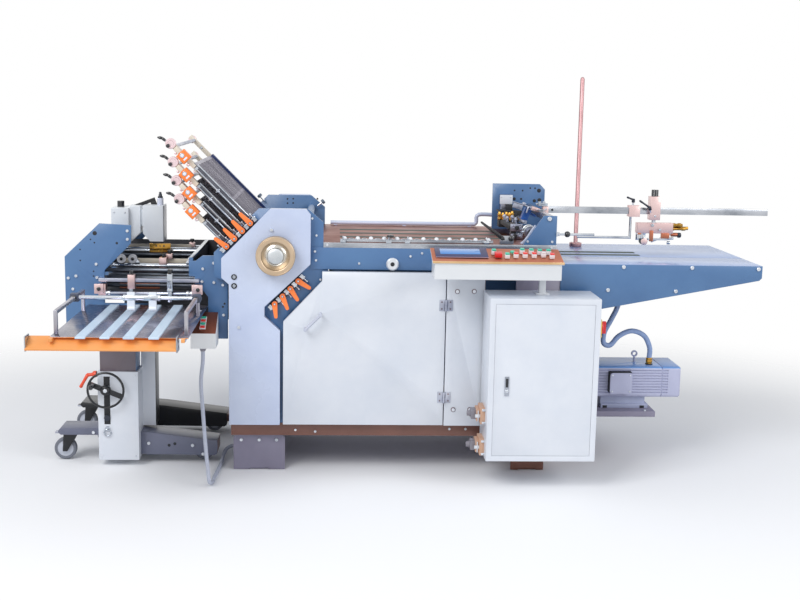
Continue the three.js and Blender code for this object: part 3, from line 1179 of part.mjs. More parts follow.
function knifeCover() {
  const k = knife;
  return join(
    block(k.boxLeft, k.boxRight, -k.boxHalf, k.boxHalf, head.bridgeHigh + seat, k.boxHigh),
    profileXZ(knifeWedge, -k.wedgeHalf, k.wedgeHalf),
    block(k.linkLeft, k.linkRight, -k.linkHalf, k.linkHalf, k.linkLow, k.linkHigh),
    profileXZ(knifeCoverOutline, -k.coverHalf, k.coverHalf),
    block(k.sensorLeft, k.sensorRight, -k.sensorHalf, k.sensorHalf, k.coverTop - overrun, k.sensorHigh),
    alongZ(k.knobX, 0, k.knob, k.boxHigh - overrun, k.boxHigh + k.knobHigh, smallSides),
  );
}
place('knife_cover', knifeCover(), steel);

// Delivery tray on two flat arms, with pale strips and a coloured front lip
const tray = {
  left: -632, right: -190, front: -930, back: -312, top: 634, thick: 3, armLow: 621, armFront: -950,
  armLeft: -632, armRight: -211, armWide: 12, lipLeft: -705, lipRight: -222, lipFront: -960, lipBack: -905,
  lipLow: 594, lipThick: 6, stripFront: -955, stripBack: -332, stripHigh: 5,
  strips: [[-547, -515], [-469, -438], [-395, -360], [-314, -281]],
};
function deliveryTray() {
  const t = tray;
  const arms = [t.armLeft, t.armRight].map((x) => block(x, x + t.armWide, t.armFront, head.front - seat,
    t.armLow, t.top - t.thick / 2));
  const strips = t.strips.map(([x0, x1]) => block(x0, x1, t.stripFront, t.stripBack,
    t.top - t.thick / 2, t.top + t.stripHigh));
  const lip = profileYZ([
    [t.lipFront, t.lipLow], [t.lipBack, t.armLow], [t.lipBack, t.armLow + 2 * t.lipThick],
    [t.lipFront, t.lipLow + t.lipThick],
  ], t.lipLeft, t.lipRight);
  return join(block(t.left, t.right, t.front, t.back, t.top - t.thick, t.top), arms, strips, lip);
}
place('delivery_tray', deliveryTray(), steel);

// Stack guides on the tray, and the free-swinging press rollers on their cross rod
const guide = {
  left: -622, right: -202, half: 6, front: -880, rodY: -582, rodZ: 706, rod: 7, top: 712, barLow: 700,
  backLeft: -449, backRight: -539, corner: 14, out: 18,
};
function stackGuides() {
  const g = guide;
  const low = tray.top + seat;
  const sides = [[g.left, g.backLeft], [g.right, g.backRight]].map(([x, back]) => join(
    block(x - g.half, x + g.half, g.front - g.half, g.front + g.half, low, g.top),
    block(x - g.half, x + g.half, back - g.half, back + g.half, low, g.top),
    block(x - g.half, x + g.half, g.front, back, g.barLow, g.top),
    block(x - g.corner, x + g.corner, g.rodY - g.corner, g.rodY + g.corner,
      g.rodZ - g.corner, g.rodZ + g.corner),
  ));
  return join(sides, alongX(g.rodY, g.rodZ, g.rod, g.left - g.out, g.right + g.out, smallSides));
}
place('stack_guides', stackGuides(), pinkAluminium);

const press = {
  left: -450, right: -333, bore: 7.4, sleeve: 11, fingers: [-429, -354], fingerHalf: 13, rise: 20, drop: 38,
  deep: 7, wheel: 10,
};
function pressRollers() {
  const p = press;
  const sleeve = alongX(0, 0, p.sleeve, p.left, p.right, smallSides);
  const fingers = p.fingers.map((x) => join(
    block(x - p.fingerHalf, x + p.fingerHalf, -p.deep, p.deep, -p.drop, p.rise),
    alongX(0, -p.drop, p.wheel, x - p.fingerHalf, x + p.fingerHalf, smallSides),
  ));
  return cut(join(sleeve, fingers), alongX(0, 0, p.bore, p.left - overrun, p.right + overrun, smallSides));
}
place('press_rollers', pressRollers(), whiteNylon, 0, guide.rodY, guide.rodZ);

// Delivery control box on the right plate, with its supply cable down to the left foot
const pod = {
  left: -240, right: -149, front: -450, back: -350, low: 498, faceHigh: 555, backHigh: 617,
  armLeft: -228, armRight: -165, armLow: 520, armHigh: 560, gland: 10, glandX: -198, glandY: -430,
};
const glandDrop = 5;
function deliveryControlBox() {
  const p = pod;
  return join(
    profileYZ([[p.front, p.low], [p.back, p.low], [p.back, p.backHigh], [p.front, p.faceHigh]],
      p.left, p.right),
    block(p.armLeft, p.armRight, p.back - overrun, head.front - seat, p.armLow, p.armHigh),
    alongZ(p.glandX, p.glandY, p.gland, p.low - glandDrop, p.low + overrun, smallSides),
  );
}
place('delivery_control_box', deliveryControlBox(), whiteEnamel);

const cable = { radius: 7, sides: 8, steps: 48 };
const cablePoints = [
  [pod.glandX, pod.glandY, pod.low - glandDrop - seat], [pod.glandX, pod.glandY, 452],
  [-204, -446, 374], [-196, -466, 276], [-184, -496, 151], [-173, -519, 60], [-167, -528, 20],
  [-162, -500, 8], [-158, -420, 7.5], [-152, -320, 7.5], [-149, -240, 8], [-147, -192, 20],
  [-136, -160, 37], [-118, footGland.y, footGland.z],
  [-foot.halfWidth - seat, footGland.y, footGland.z],
];
place('delivery_cable', tube(cablePoints, cable.radius, cable.sides, cable.steps), greyRubber);

// Handwheel that works the lift, on the pin of the inner column
const liftWheel = {
  radius: 72, rim: 9, rimHalf: 5, back: -290, long: 22, hub: 20, spokeHalf: 12, bore: 7.3, tilt: 22,
  grip: 10, gripAt: 52, gripOut: 44,
};
function standHandwheel() {
  const w = liftWheel;
  const mid = w.back - w.long / 2;
  const rim = turnedY([
    [w.radius - w.rim, mid - w.rimHalf], [w.radius, mid - w.rimHalf], [w.radius, mid + w.rimHalf],
    [w.radius - w.rim, mid + w.rimHalf], [w.radius - w.rim, mid - w.rimHalf],
  ]);
  const rimIn = w.radius - w.rim / 2;
  const spokeReach = w.rimHalf - seat;
  const spoke = block(-rimIn, rimIn, mid - spokeReach, mid + spokeReach, -w.spokeHalf, w.spokeHalf);
  const hub = alongY(0, 0, w.hub, w.back - w.long, w.back);
  const grip = alongY(-w.gripAt, 0, w.grip, mid - w.gripOut, mid, smallSides);
  const body = join(rim, spoke, hub, grip).rotate([0, w.tilt, 0]);
  return cut(body, alongY(0, 0, w.bore, wheelPin.front - seat, w.back + overrun, smallSides));
}
place('stand_handwheel', standHandwheel(), blackPaint, column.slotX, 0, wheelPin.z);

export default machine;
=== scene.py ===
import json
from math import atan, cos, pi, radians, sin, sqrt, tan

import bmesh
import bpy
from mathutils import Matrix, Vector


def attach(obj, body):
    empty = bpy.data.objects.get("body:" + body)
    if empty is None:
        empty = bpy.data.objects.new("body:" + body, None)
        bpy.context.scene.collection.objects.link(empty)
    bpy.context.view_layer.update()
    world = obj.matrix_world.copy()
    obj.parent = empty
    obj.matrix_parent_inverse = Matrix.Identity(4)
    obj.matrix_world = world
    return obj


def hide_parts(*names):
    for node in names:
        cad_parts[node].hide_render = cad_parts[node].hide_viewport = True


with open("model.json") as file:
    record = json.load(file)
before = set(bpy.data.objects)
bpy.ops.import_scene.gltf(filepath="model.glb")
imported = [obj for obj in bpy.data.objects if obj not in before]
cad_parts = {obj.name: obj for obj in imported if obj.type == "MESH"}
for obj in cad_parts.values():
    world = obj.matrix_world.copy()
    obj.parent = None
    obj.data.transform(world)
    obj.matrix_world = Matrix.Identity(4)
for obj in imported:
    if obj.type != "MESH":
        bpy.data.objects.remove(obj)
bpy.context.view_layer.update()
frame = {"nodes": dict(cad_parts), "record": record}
carried_by = {node: body for body, nodes in frame["record"]["behaviour"]["bodies"].items()
              for node in nodes}
slot_of = {row["node"]: row["material_slot"] for row in frame["record"]["subparts"]}
scene = bpy.context.scene
scene.view_settings.view_transform = "Standard"

# The camera stands where the photograph was taken: in front of the fold unit, a little above the
# register table, with the yaw, tilt and roll that the machine's own straight edges give.
eye = Vector((0.2731, -4.7629, 1.4010))
yaw, tilt, roll = radians(3.271), radians(9.401), radians(-1.127)
image_width, focal_pixels, sensor_width = 800, 1200, 36.0
forward = Vector((sin(yaw) * cos(tilt), cos(yaw) * cos(tilt), -sin(tilt)))
level_right = Vector((cos(yaw), -sin(yaw), 0.0))
level_down = forward.cross(level_right)
camera_right = level_right * cos(roll) + level_down * sin(roll)
camera_up = level_right * sin(roll) - level_down * cos(roll)
lens_data = bpy.data.cameras.new("photo_camera")
lens_data.sensor_width = sensor_width
lens_data.lens = sensor_width * focal_pixels / image_width
camera = bpy.data.objects.new("photo_camera", lens_data)
turn = Matrix((camera_right, camera_up, -forward)).transposed()
camera.matrix_world = Matrix.Translation(eye) @ turn.to_4x4()
scene.collection.objects.link(camera)
scene.camera = camera


# Colours are written as sRGB hex and turned to linear here. One small function adds a shader or
# geometry node with its settings: a value that is an output socket becomes a link.
def linear(hex_colour):
    channels = [int(hex_colour[i:i + 2], 16) / 255 for i in (0, 2, 4)]
    return [c / 12.92 if c <= 0.04045 else ((c + 0.055) / 1.055) ** 2.4 for c in channels] + [1.0]


def feed(tree, socket, value):
    if isinstance(value, bpy.types.NodeSocket):
        tree.links.new(value, socket)
    else:
        socket.default_value = value


def add_node(tree, kind, settings=None, **inputs):
    node = tree.nodes.new(kind)
    for name, value in (settings or {}).items():
        setattr(node, name, value)
    for name, value in inputs.items():
        wanted = name.replace("_", " ").lower()
        socket = node.inputs[int(name[2:])] if name.startswith("in") and name[2:].isdigit() else next(
            s for s in node.inputs if s.name.lower() == wanted and s.enabled)
        feed(tree, socket, value)
    return node


# The studio: one broad lamp from the upper left, a weaker one from the right, and even white light
# all round, so that a colour renders about as it is written. The floor fades out into the white.
world = bpy.data.worlds.new("white_studio")
scene.world = world
world.use_nodes = True
tree = world.node_tree
tree.nodes.clear()
ray = add_node(tree, "ShaderNodeLightPath")
seen = add_node(tree, "ShaderNodeMath", {"operation": "MAXIMUM"}, in0=ray.outputs["Is Camera Ray"],
                in1=ray.outputs["Is Transmission Ray"])
seen_or_mirrored = add_node(tree, "ShaderNodeMath", {"operation": "MAXIMUM"}, in0=seen.outputs[0],
                            in1=ray.outputs["Is Glossy Ray"])
ambient = add_node(tree, "ShaderNodeBackground", Color=linear("f4f6fa"), Strength=0.62)
backdrop = add_node(tree, "ShaderNodeBackground", Color=linear("ffffff"), Strength=1.0)
shown = add_node(tree, "ShaderNodeMixShader", in0=seen_or_mirrored.outputs[0], in1=ambient.outputs[0],
                 in2=backdrop.outputs[0])
add_node(tree, "ShaderNodeOutputWorld", Surface=shown.outputs[0])
for lamp_name, place, aim, size, power in (
        ("key_lamp", (-2.6, -4.2, 4.6), (0.4, 0.0, 0.6), 3.2, 215.0),
        ("fill_lamp", (4.2, -3.0, 3.0), (0.6, 0.0, 0.6), 2.6, 70.0)):
    light = bpy.data.lights.new(lamp_name, "AREA")
    light.size, light.energy = size, power
    lamp = bpy.data.objects.new(lamp_name, light)
    lamp.matrix_world = Matrix.Translation(place) @ (
        (Vector(aim) - Vector(place)).to_track_quat("-Z", "Y").to_matrix().to_4x4())
    scene.collection.objects.link(lamp)

floor_middle, floor_half = Vector((0.5, 0.0)), 6.0
floor_mesh = bpy.data.meshes.new("studio_floor")
floor_mesh.from_pydata([(floor_middle.x + sx * floor_half, floor_middle.y + sy * floor_half, -0.0015)
                        for sx, sy in ((-1, -1), (1, -1), (1, 1), (-1, 1))], [], [(0, 1, 2, 3)])
floor = bpy.data.objects.new("studio_floor", floor_mesh)
scene.collection.objects.link(floor)
floor_paint = bpy.data.materials.new("matt_white_floor")
floor_paint.use_nodes = True
tree = floor_paint.node_tree
tree.nodes.clear()
where = add_node(tree, "ShaderNodeTexCoord")
centred = add_node(tree, "ShaderNodeMapping", {"vector_type": "TEXTURE"}, Vector=where.outputs["Object"],
                   Location=(floor_middle.x, floor_middle.y, 0.0), Scale=(3.6, 3.0, 1.0))
fade = add_node(tree, "ShaderNodeTexGradient", {"gradient_type": "SPHERICAL"}, Vector=centred.outputs[0])
soft = add_node(tree, "ShaderNodeMapRange", {"interpolation_type": "SMOOTHSTEP"}, Value=fade.outputs["Fac"],
                From_Max=0.55)
matt = add_node(tree, "ShaderNodeBsdfDiffuse", Color=linear("f6f7f9"))
clear = add_node(tree, "ShaderNodeBsdfTransparent")
blend = add_node(tree, "ShaderNodeMixShader", in0=soft.outputs[0], in1=clear.outputs[0],
                 in2=matt.outputs[0])
add_node(tree, "ShaderNodeOutputMaterial", Surface=blend.outputs[0])
floor_mesh.materials.append(floor_paint)


# Supply cable of the delivery unit and suction hose of the pump. Both are soft PVC jackets: the
# cable drops from the control box, lies on the floor and rises to the gland in the left foot.
def smooth_path(points, steps):
    points = [Vector(p) for p in points]
    ends = [points[0] * 2 - points[1]] + points + [points[-1] * 2 - points[-2]]
    path = []
    for i in range(len(points) - 1):
        p = ends[i:i + 4]
        t = [0.0]
        for a, b in zip(p, p[1:]):
            t.append(t[-1] + max(sqrt((b - a).length), 1e-6))
        for k in range(steps):
            x = t[1] + (t[2] - t[1]) * k / steps
            low = [p[j] * ((t[j + 1] - x) / (t[j + 1] - t[j])) + p[j + 1] * ((x - t[j]) / (t[j + 1] - t[j]))
                   for j in range(3)]
            mid = [low[j] * ((t[j + 2] - x) / (t[j + 2] - t[j]))
                   + low[j + 1] * ((x - t[j]) / (t[j + 2] - t[j])) for j in range(2)]
            path.append(mid[0] * ((t[2] - x) / (t[2] - t[1])) + mid[1] * ((x - t[1]) / (t[2] - t[1])))
    return path + [points[-1]]


def tube_mesh(name, path, radius, sides, ripple=0.0):
    verts, faces = [], []
    side = Vector((1.0, 0.13, 0.07))
    for i, point in enumerate(path):
        ahead = (path[min(i + 1, len(path) - 1)] - path[max(i - 1, 0)]).normalized()
        side = (side - ahead * side.dot(ahead)).normalized()
        up = ahead.cross(side)
        grown = radius + (ripple if i % 2 and 0 < i < len(path) - 1 else 0.0)
        for k in range(sides):
            angle = 2 * pi * k / sides
            verts.append(point + side * (grown * cos(angle)) + up * (grown * sin(angle)))
    for i in range(len(path) - 1):
        for k in range(sides):
            a, b = i * sides + k, i * sides + (k + 1) % sides
            faces.append((a, b, b + sides, a + sides))
    last = (len(path) - 1) * sides
    faces.append(tuple(range(sides - 1, -1, -1)))
    faces.append(tuple(range(last, last + sides)))
    mesh = bpy.data.meshes.new(name)
    mesh.from_pydata([tuple(v) for v in verts], [], faces)
    mesh.shade_smooth()
    mesh.set_sharp_from_angle(angle=radians(50))
    piece = bpy.data.objects.new(name, mesh)
    scene.collection.objects.link(piece)
    return piece


def begun_finish(name):
    # A new material, its node tree, and the socket that tells the place on the piece
    material = bpy.data.materials.new(name)
    material.use_nodes = True
    tree = material.node_tree
    return material, tree, add_node(tree, "ShaderNodeTexCoord").outputs["Object"]


def noise(tree, where, scale, detail, **more):
    return add_node(tree, "ShaderNodeTexNoise", Vector=where, Scale=scale, Detail=detail,
                    **more).outputs["Fac"]


def wired_finish(material, share, first, second, relief, strength, depth, **values):
    # Mixes two colours by share, adds the relief, and sets or links the shader's other values
    tree = material.node_tree
    shader = tree.nodes["Principled BSDF"]
    tint = add_node(tree, "ShaderNodeMix", {"data_type": "RGBA"}, in0=share, in6=first, in7=second)
    bump = add_node(tree, "ShaderNodeBump", Height=relief, Strength=strength, Distance=depth)
    for name, value in dict(values, Base_Color=tint.outputs[2], Normal=bump.outputs[0]).items():
        feed(tree, shader.inputs[name.replace("_", " ")], value)
    return material


def pvc_jacket(name, colour, grain_mm):
    # Soft PVC: a dull grey skin with a fine powdery mottling and a weak broad gloss
    material, tree, where = begun_finish(name)
    mottling = noise(tree, where, 1000.0 / grain_mm, 3.0)
    darker = [c * 0.8 for c in linear(colour)[:3]] + [1.0]
    return wired_finish(material, mottling, linear(colour), darker, mottling, 0.12, 0.0006, Roughness=0.52)


cable_radius, cable_steps = 0.007, 8
cable_points = [(-0.198, -0.430, 0.4927), (-0.198, -0.430, 0.452), (-0.204, -0.446, 0.374),
                (-0.196, -0.466, 0.276), (-0.184, -0.496, 0.151), (-0.173, -0.519, 0.060),
                (-0.167, -0.528, 0.020), (-0.162, -0.500, 0.008), (-0.158, -0.420, 0.0075),
                (-0.152, -0.320, 0.0075), (-0.149, -0.240, 0.008), (-0.147, -0.192, 0.020),
                (-0.136, -0.160, 0.037), (-0.118, -0.150, 0.045), (-0.0983, -0.150, 0.045)]
cable_path = smooth_path(cable_points, cable_steps)
cable = tube_mesh("supply_cable", cable_path, cable_radius, 16)
cable.data.materials.append(pvc_jacket("grey_pvc_cable_jacket", "b9bfd0", 9.0))
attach(cable, "delivery_head")
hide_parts("delivery_cable")

hose_radius, hose_steps = 0.010, 10
hose_points = [(1.530, -0.165, 0.4186), (1.530, -0.165, 0.456), (1.504, -0.168, 0.506),
               (1.452, -0.174, 0.526), (1.400, -0.180, 0.506), (1.364, -0.186, 0.470),
               (1.340, -0.190, 0.478), (1.338, -0.194, 0.520), (1.362, -0.197, 0.574),
               (1.382, -0.200, 0.620), (1.392, -0.200, 0.664), (1.392, -0.200, 0.6997)]
hose_path = smooth_path(hose_points, hose_steps)
hose = tube_mesh("suction_hose", hose_path, hose_radius, 18)
hose.data.materials.append(pvc_jacket("blue_grey_pvc_hose", "94abd6", 12.0))
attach(hose, "machine")
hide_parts("air_hose")


# Base frame: two welded box feet under folded rails, with the pump's shelf at the feed end. It is
# steel under stoved slate-grey paint, darker and browner on the rails, bolted through the end plates.
def ranged(tree, value, **limits):
    return add_node(tree, "ShaderNodeMapRange", Value=value, **limits).outputs[0]


def stoved_enamel(name, colour, dust, peel_mm=3.0, roughness=0.38):
    # Stoved enamel on steel: an even colour, clouded with a little dust, under a faint orange peel
    material, tree, where = begun_finish(name)
    clouds = noise(tree, where, 3.5, 5.0, Roughness=0.6)
    amount = ranged(tree, clouds, From_Min=0.35, From_Max=0.7)
    gloss = ranged(tree, clouds, To_Min=roughness - 0.06, To_Max=roughness + 0.12)
    peel = noise(tree, where, 1000.0 / peel_mm, 2.0)
    return wired_finish(material, amount, linear(colour), linear(dust), peel, 0.08, 0.0005, Roughness=gloss,
                        Coat_Weight=0.15, Coat_Roughness=0.2)


def bare_metal(name, colour, worn, grain_mm=2.0, stretch=(1.0, 1.0, 1.0), roughness=0.28, spread=0.14):
    # Bare or anodised metal: fine tool lines, drawn out along the piece, and a clouded gloss
    material, tree, where = begun_finish(name)
    drawn = add_node(tree, "ShaderNodeMapping", Vector=where, Scale=stretch).outputs[0]
    lines = noise(tree, drawn, 1000.0 / grain_mm, 3.0)
    clouds = noise(tree, where, 9.0, 4.0)
    both = add_node(tree, "ShaderNodeMath", {"operation": "MULTIPLY_ADD"}, in0=lines, in1=0.5,
                    in2=clouds).outputs[0]
    amount = ranged(tree, both, From_Min=0.55, From_Max=1.0)
    gloss = ranged(tree, both, From_Min=0.4, From_Max=1.1, To_Min=roughness - spread / 2,
                   To_Max=roughness + spread)
    return wired_finish(material, amount, linear(colour), linear(worn), lines, 0.1, 0.0003, Roughness=gloss,
                        Metallic=1.0)


def moulded(name, colour, second, grain_mm=6.0, roughness=0.42, depth=0.1, coat=0.0):
    # Moulded plastic or rubber: colour through the body, slightly mottled, with a fine cast texture
    material, tree, where = begun_finish(name)
    mottle = noise(tree, where, 1000.0 / grain_mm, 4.0)
    gloss = ranged(tree, mottle, To_Min=roughness - 0.08, To_Max=roughness + 0.1)
    return wired_finish(material, mottle, linear(colour), linear(second), mottle, depth, 0.0004,
                        Roughness=gloss, Coat_Weight=coat, Coat_Roughness=0.12)


def merged_copy(node):
    # Flat triangles are joined, but not on pieces whose thin rings would then be filled wrongly
    shape = bmesh.new()
    shape.from_mesh(frame["nodes"][node].data)
    bmesh.ops.remove_doubles(shape, verts=shape.verts, dist=0.00003)
    if node not in ("front_cover", "rear_cover", "buckle_plate_4", "lower_buckle_plates", "delivery_tray"):
        bmesh.ops.dissolve_limit(shape, angle_limit=radians(1.0), verts=shape.verts, edges=shape.edges)
    return shape


def finish_piece(shape, name, body, slot, material, edge=0.0, rounds=2, smooth=38, parts=()):
    # Makes the mesh, rounds its sharp edges, and gives other finishes to the faces that parts picks
    # by their middle, in millimetres
    mesh = bpy.data.meshes.new(name)
    shape.to_mesh(mesh)
    shape.free()
    mesh.materials.clear()
    for finish in [material] + [finish for finish, _ in parts]:
        mesh.materials.append(finish)
    for face in mesh.polygons:
        middle = face.center * 1000
        face.material_index = 0
        for number, (_, picks) in enumerate(parts):
            if picks(middle, face.normal):
                face.material_index = number + 1
    piece = bpy.data.objects.new(name, mesh)
    scene.collection.objects.link(piece)
    if edge:
        rounding = piece.modifiers.new("broken_edges", "BEVEL")
        rounding.width, rounding.segments = edge / 1000, rounds
        rounding.limit_method, rounding.angle_limit = "ANGLE", radians(smooth)
        evaluated = piece.evaluated_get(bpy.context.evaluated_depsgraph_get())
        rounded = bpy.data.meshes.new_from_object(evaluated)
        piece.modifiers.clear()
        piece.data = rounded
        bpy.data.meshes.remove(mesh)
        rounded.name = name
    piece.data.shade_smooth()
    piece.data.set_sharp_from_angle(angle=radians(smooth))
    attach(piece, body)
    return piece


def dress(node, material, edge=0.8, rounds=2, parts=(), smooth=38):
    piece = finish_piece(merged_copy(node), node + "_dressed", carried_by[node], slot_of[node], material,
                         edge, rounds, smooth, parts)
    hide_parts(node)
    return piece


def within(x0=-9e9, x1=9e9, y0=-9e9, y1=9e9, z0=-9e9, z1=9e9):
    return lambda middle, normal: x0 < middle.x < x1 and y0 < middle.y < y1 and z0 < middle.z < z1


def begun_tree(name, output, **inputs):
    # A geometry tree with inputs of the kinds given and one geometry output
    tree = bpy.data.node_groups.new(name, "GeometryNodeTree")
    for label, kind in inputs.items():
        tree.interface.new_socket(name=label.replace("_", " "), in_out="INPUT", socket_type="NodeSocket"
                                  + kind)
    tree.interface.new_socket(name=output, in_out="OUTPUT", socket_type="NodeSocketGeometry")
    return tree, add_node(tree, "NodeGroupInput").outputs


def ended_tree(tree, output, copies, finish):
    solid = add_node(tree, "GeometryNodeRealizeInstances", Geometry=copies.outputs[0])
    done = add_node(tree, "GeometryNodeSetMaterial", Geometry=solid.outputs[0], Material=finish)
    add_node(tree, "NodeGroupOutput", **{output: done.outputs[0]})
    return tree


# Cap screws: one tree sets a turned head with a sunk socket on each point, along the way it faces
def screw_tree():
    tree, given = begun_tree("cap_screws", "Screws", Places="Geometry", Head_Radius="Float",
                             Head_Height="Float", Socket_Share="Float", Sides="Int", Finish="Material")
    head = add_node(tree, "GeometryNodeMeshCylinder", Vertices=given["Sides"], Radius=given["Head Radius"],
                    Depth=given["Head Height"])
    crown = add_node(tree, "ShaderNodeCombineXYZ", Z=add_node(
        tree, "ShaderNodeMath", {"operation": "MULTIPLY"}, in0=given["Head Height"], in1=0.25).outputs[0])
    rise = add_node(tree, "GeometryNodeExtrudeMesh", Mesh=head.outputs["Mesh"],
                    Selection=head.outputs["Top"], Offset=crown.outputs[0], Individual=False)
    domed = add_node(tree, "GeometryNodeScaleElements", Geometry=rise.outputs["Mesh"],
                     Selection=rise.outputs["Top"], Scale=0.82)
    lip = add_node(tree, "GeometryNodeExtrudeMesh", Mesh=domed.outputs[0], Selection=rise.outputs["Top"],
                   Offset_Scale=0.0, Individual=False)
    ring = add_node(tree, "GeometryNodeScaleElements", Geometry=lip.outputs["Mesh"],
                    Selection=lip.outputs["Top"], Scale=given["Socket Share"])
    depth = add_node(tree, "ShaderNodeCombineXYZ", Z=add_node(
        tree, "ShaderNodeMath", {"operation": "MULTIPLY"}, in0=given["Head Height"], in1=-0.7).outputs[0])
    sunk = add_node(tree, "GeometryNodeExtrudeMesh", Mesh=ring.outputs[0], Selection=lip.outputs["Top"],
                    Offset=depth.outputs[0], Individual=False)
    facing = add_node(tree, "GeometryNodeInputNamedAttribute", {"data_type": "FLOAT_VECTOR"}, Name="facing")
    turn = add_node(tree, "FunctionNodeAlignRotationToVector", {"axis": "Z"},
                    Vector=facing.outputs["Attribute"])
    heads = add_node(tree, "GeometryNodeInstanceOnPoints", Points=given["Places"],
                     Instance=sunk.outputs["Mesh"], Rotation=turn.outputs[0])
    return ended_tree(tree, "Screws", heads, given["Finish"])


def grown_by(tree, carrier, sizes):
    # Runs a tree on a carrier object and hands back the plain mesh, with its normals outwards
    growth = carrier.modifiers.new(tree.name, "NODES")
    growth.node_group = tree
    sockets = {item.name: item.identifier for item in tree.interface.items_tree if item.in_out == "INPUT"}
    for name, value in sizes.items():
        growth[sockets[name]] = value
    scene.collection.objects.link(carrier)
    bpy.context.view_layer.update()
    evaluated = carrier.evaluated_get(bpy.context.evaluated_depsgraph_get())
    mesh = bpy.data.meshes.new_from_object(evaluated)
    carrier.modifiers.clear()
    bpy.data.objects.remove(carrier)
    shape = bmesh.new()
    shape.from_mesh(mesh)
    bmesh.ops.remove_doubles(shape, verts=shape.verts, dist=0.00001)
    bmesh.ops.recalc_face_normals(shape, faces=shape.faces)
    bpy.data.meshes.remove(mesh)
    return shape


cap_screws = screw_tree()


def screws(name, body, places, facing, radius, height, material, slot="bright_steel", socket=0.42,
           sides=16):
    # Places are [x, y, z] in millimetres, and facing is one direction or one for each place
    ways = [facing] * len(places) if isinstance(facing[0], (int, float)) else facing
    carrier_mesh = bpy.data.meshes.new(name)
    carrier_mesh.from_pydata([(Vector(p) + Vector(w).normalized() * (height * 0.3)) / 1000
                              for p, w in zip(places, ways)], [], [])
    row = carrier_mesh.attributes.new("facing", "FLOAT_VECTOR", "POINT")
    for point, way in zip(row.data, ways):
        point.vector = Vector(way).normalized()
    shape = grown_by(cap_screws, bpy.data.objects.new(name, carrier_mesh), {
        "Head Radius": radius / 1000, "Head Height": height / 1000, "Socket Share": socket, "Sides": sides,
        "Finish": material})
    return finish_piece(shape, name, body, slot, material, smooth=34)


def brick(shape, x0, x1, y0, y1, z0, z1, turn=None):
    turn = turn or Matrix.Identity(4)
    v = [shape.verts.new((turn @ Vector((x, y, z))) / 1000) for x in (x0, x1) for y in (y0, y1)
         for z in (z0, z1)]
    for corners in ((0, 1, 3, 2), (4, 6, 7, 5), (0, 4, 5, 1), (2, 3, 7, 6), (0, 2, 6, 4), (1, 5, 7, 3)):
        shape.faces.new([v[k] for k in corners])
    return shape


front, rear, up = (0, -1, 0), (0, 1, 0), (0, 0, 1)


def both_sides(y, *spots):
    # Places at these spots on the front and the rear face, and the way that each place faces
    return [(x, side * y, z) for x, z in spots for side in (-1, 1)], [front, rear] * len(spots)


slate_enamel = stoved_enamel("lilac_slate_enamel", "888498", "777386")
# Red-brown primer paint on the rails and the feed-end foot: warm, dark and half matt
rail_enamel = stoved_enamel("red_brown_primer", "84594b", "6f4a3f", roughness=0.36)
dress("base_frame", slate_enamel, 1.2, parts=((rail_enamel, within(x0=940, z1=139)),
                                              (rail_enamel, within(y1=-285, z0=139, z1=191))))
rail_face = bmesh.new()
brick(rail_face, -104.6, 1079.6, -330.6, -329.8, 140.8, 189.4)
brick(rail_face, -104.4, 840, 289.8, 290.6, 146.8, 189.4)
finish_piece(rail_face, "rail_primer_faces", "machine", "frame_grey", rail_enamel, 0.2)
# Zinc-plated screws: a cool bright head, slightly clouded, that catches the lamps at its rim
zinc = bare_metal("zinc_plated_screws", "e8ebf0", "c0c6cf", 1.2, roughness=0.3)
foot_spots = [(x, 117) for x in (-68, 0, 66, 990, 1033, 1076)]
screws("foot_bolts", "machine", *both_sides(310, *foot_spots), 6.5, 6, zinc)
screws("rail_bolts", "machine", [(138, -330, 162), (213, -330, 156), (725, -330, 168), (787, -330, 168)],
       front, 5, 4, zinc)
screws("shelf_bolts", "machine", [(x, y, 222) for x in (1160, 1290, 1500) for y in (-250, 70)], up, 6, 5,
       zinc)


# Side frames: two cut steel plates with the register beams bolted to them. They are painted steel
# blue, and carry a knurled adjusting knob, tie-bar screws and the bosses of the clamp levers.
def turned(shape, start, along, profile, sides=28):
    # A turned solid: the profile gives pairs of distance along the axis and radius, in millimetres
    along = Vector(along).normalized()
    side = along.orthogonal().normalized()
    across = along.cross(side)
    rings = []
    for far, radius in profile:
        middle = (Vector(start) + along * far) / 1000
        if radius < 0.01:
            rings.append([shape.verts.new(middle)])
        else:
            rings.append([shape.verts.new(middle + (side * cos(2 * pi * k / sides)
                                                    + across * sin(2 * pi * k / sides)) * radius / 1000)
                          for k in range(sides)])
    if profile[0] == profile[-1]:
        for spare in rings[-1]:
            shape.verts.remove(spare)
        rings[-1] = rings[0]
    for low, high in zip(rings, rings[1:]):
        for k in range(sides):
            corners = list(dict.fromkeys((low[k % len(low)], low[(k + 1) % len(low)],
                                          high[(k + 1) % len(high)], high[k % len(high)])))
            if len(corners) > 2:
                shape.faces.new(corners)
    if rings[0] is not rings[-1]:
        if len(rings[0]) > 1:
            shape.faces.new(rings[0][::-1])
        if len(rings[-1]) > 1:
            shape.faces.new(rings[-1])
    return shape


def rod(shape, a, b, radius, sides=16, chamfer=0.6):
    long = (Vector(b) - Vector(a)).length
    return turned(shape, a, Vector(b) - Vector(a), [(0, radius - chamfer), (chamfer, radius),
                  (long - chamfer, radius), (long, radius - chamfer)], sides)


steel_blue = stoved_enamel("steel_blue_enamel", "5278a4", "466a97", roughness=0.3)
dress("side_frames", steel_blue, 1.0)
screws("beam_screws", "machine", *both_sides(335, (207, 846), (211, 813), (371, 803), (605, 844),
       (562, 832), (1080, 850), (1080, 800), (1000, 803)), 4.6, 4, zinc)
screws("side_plate_screws", "machine", *both_sides(330.1, (-118, 806), (-112, 765), (-60, 230), (190, 240),
       (228, 300), (228, 560), (228, 740), (212, 905), (196, 968), (60, 996)), 4.5, 4, zinc)
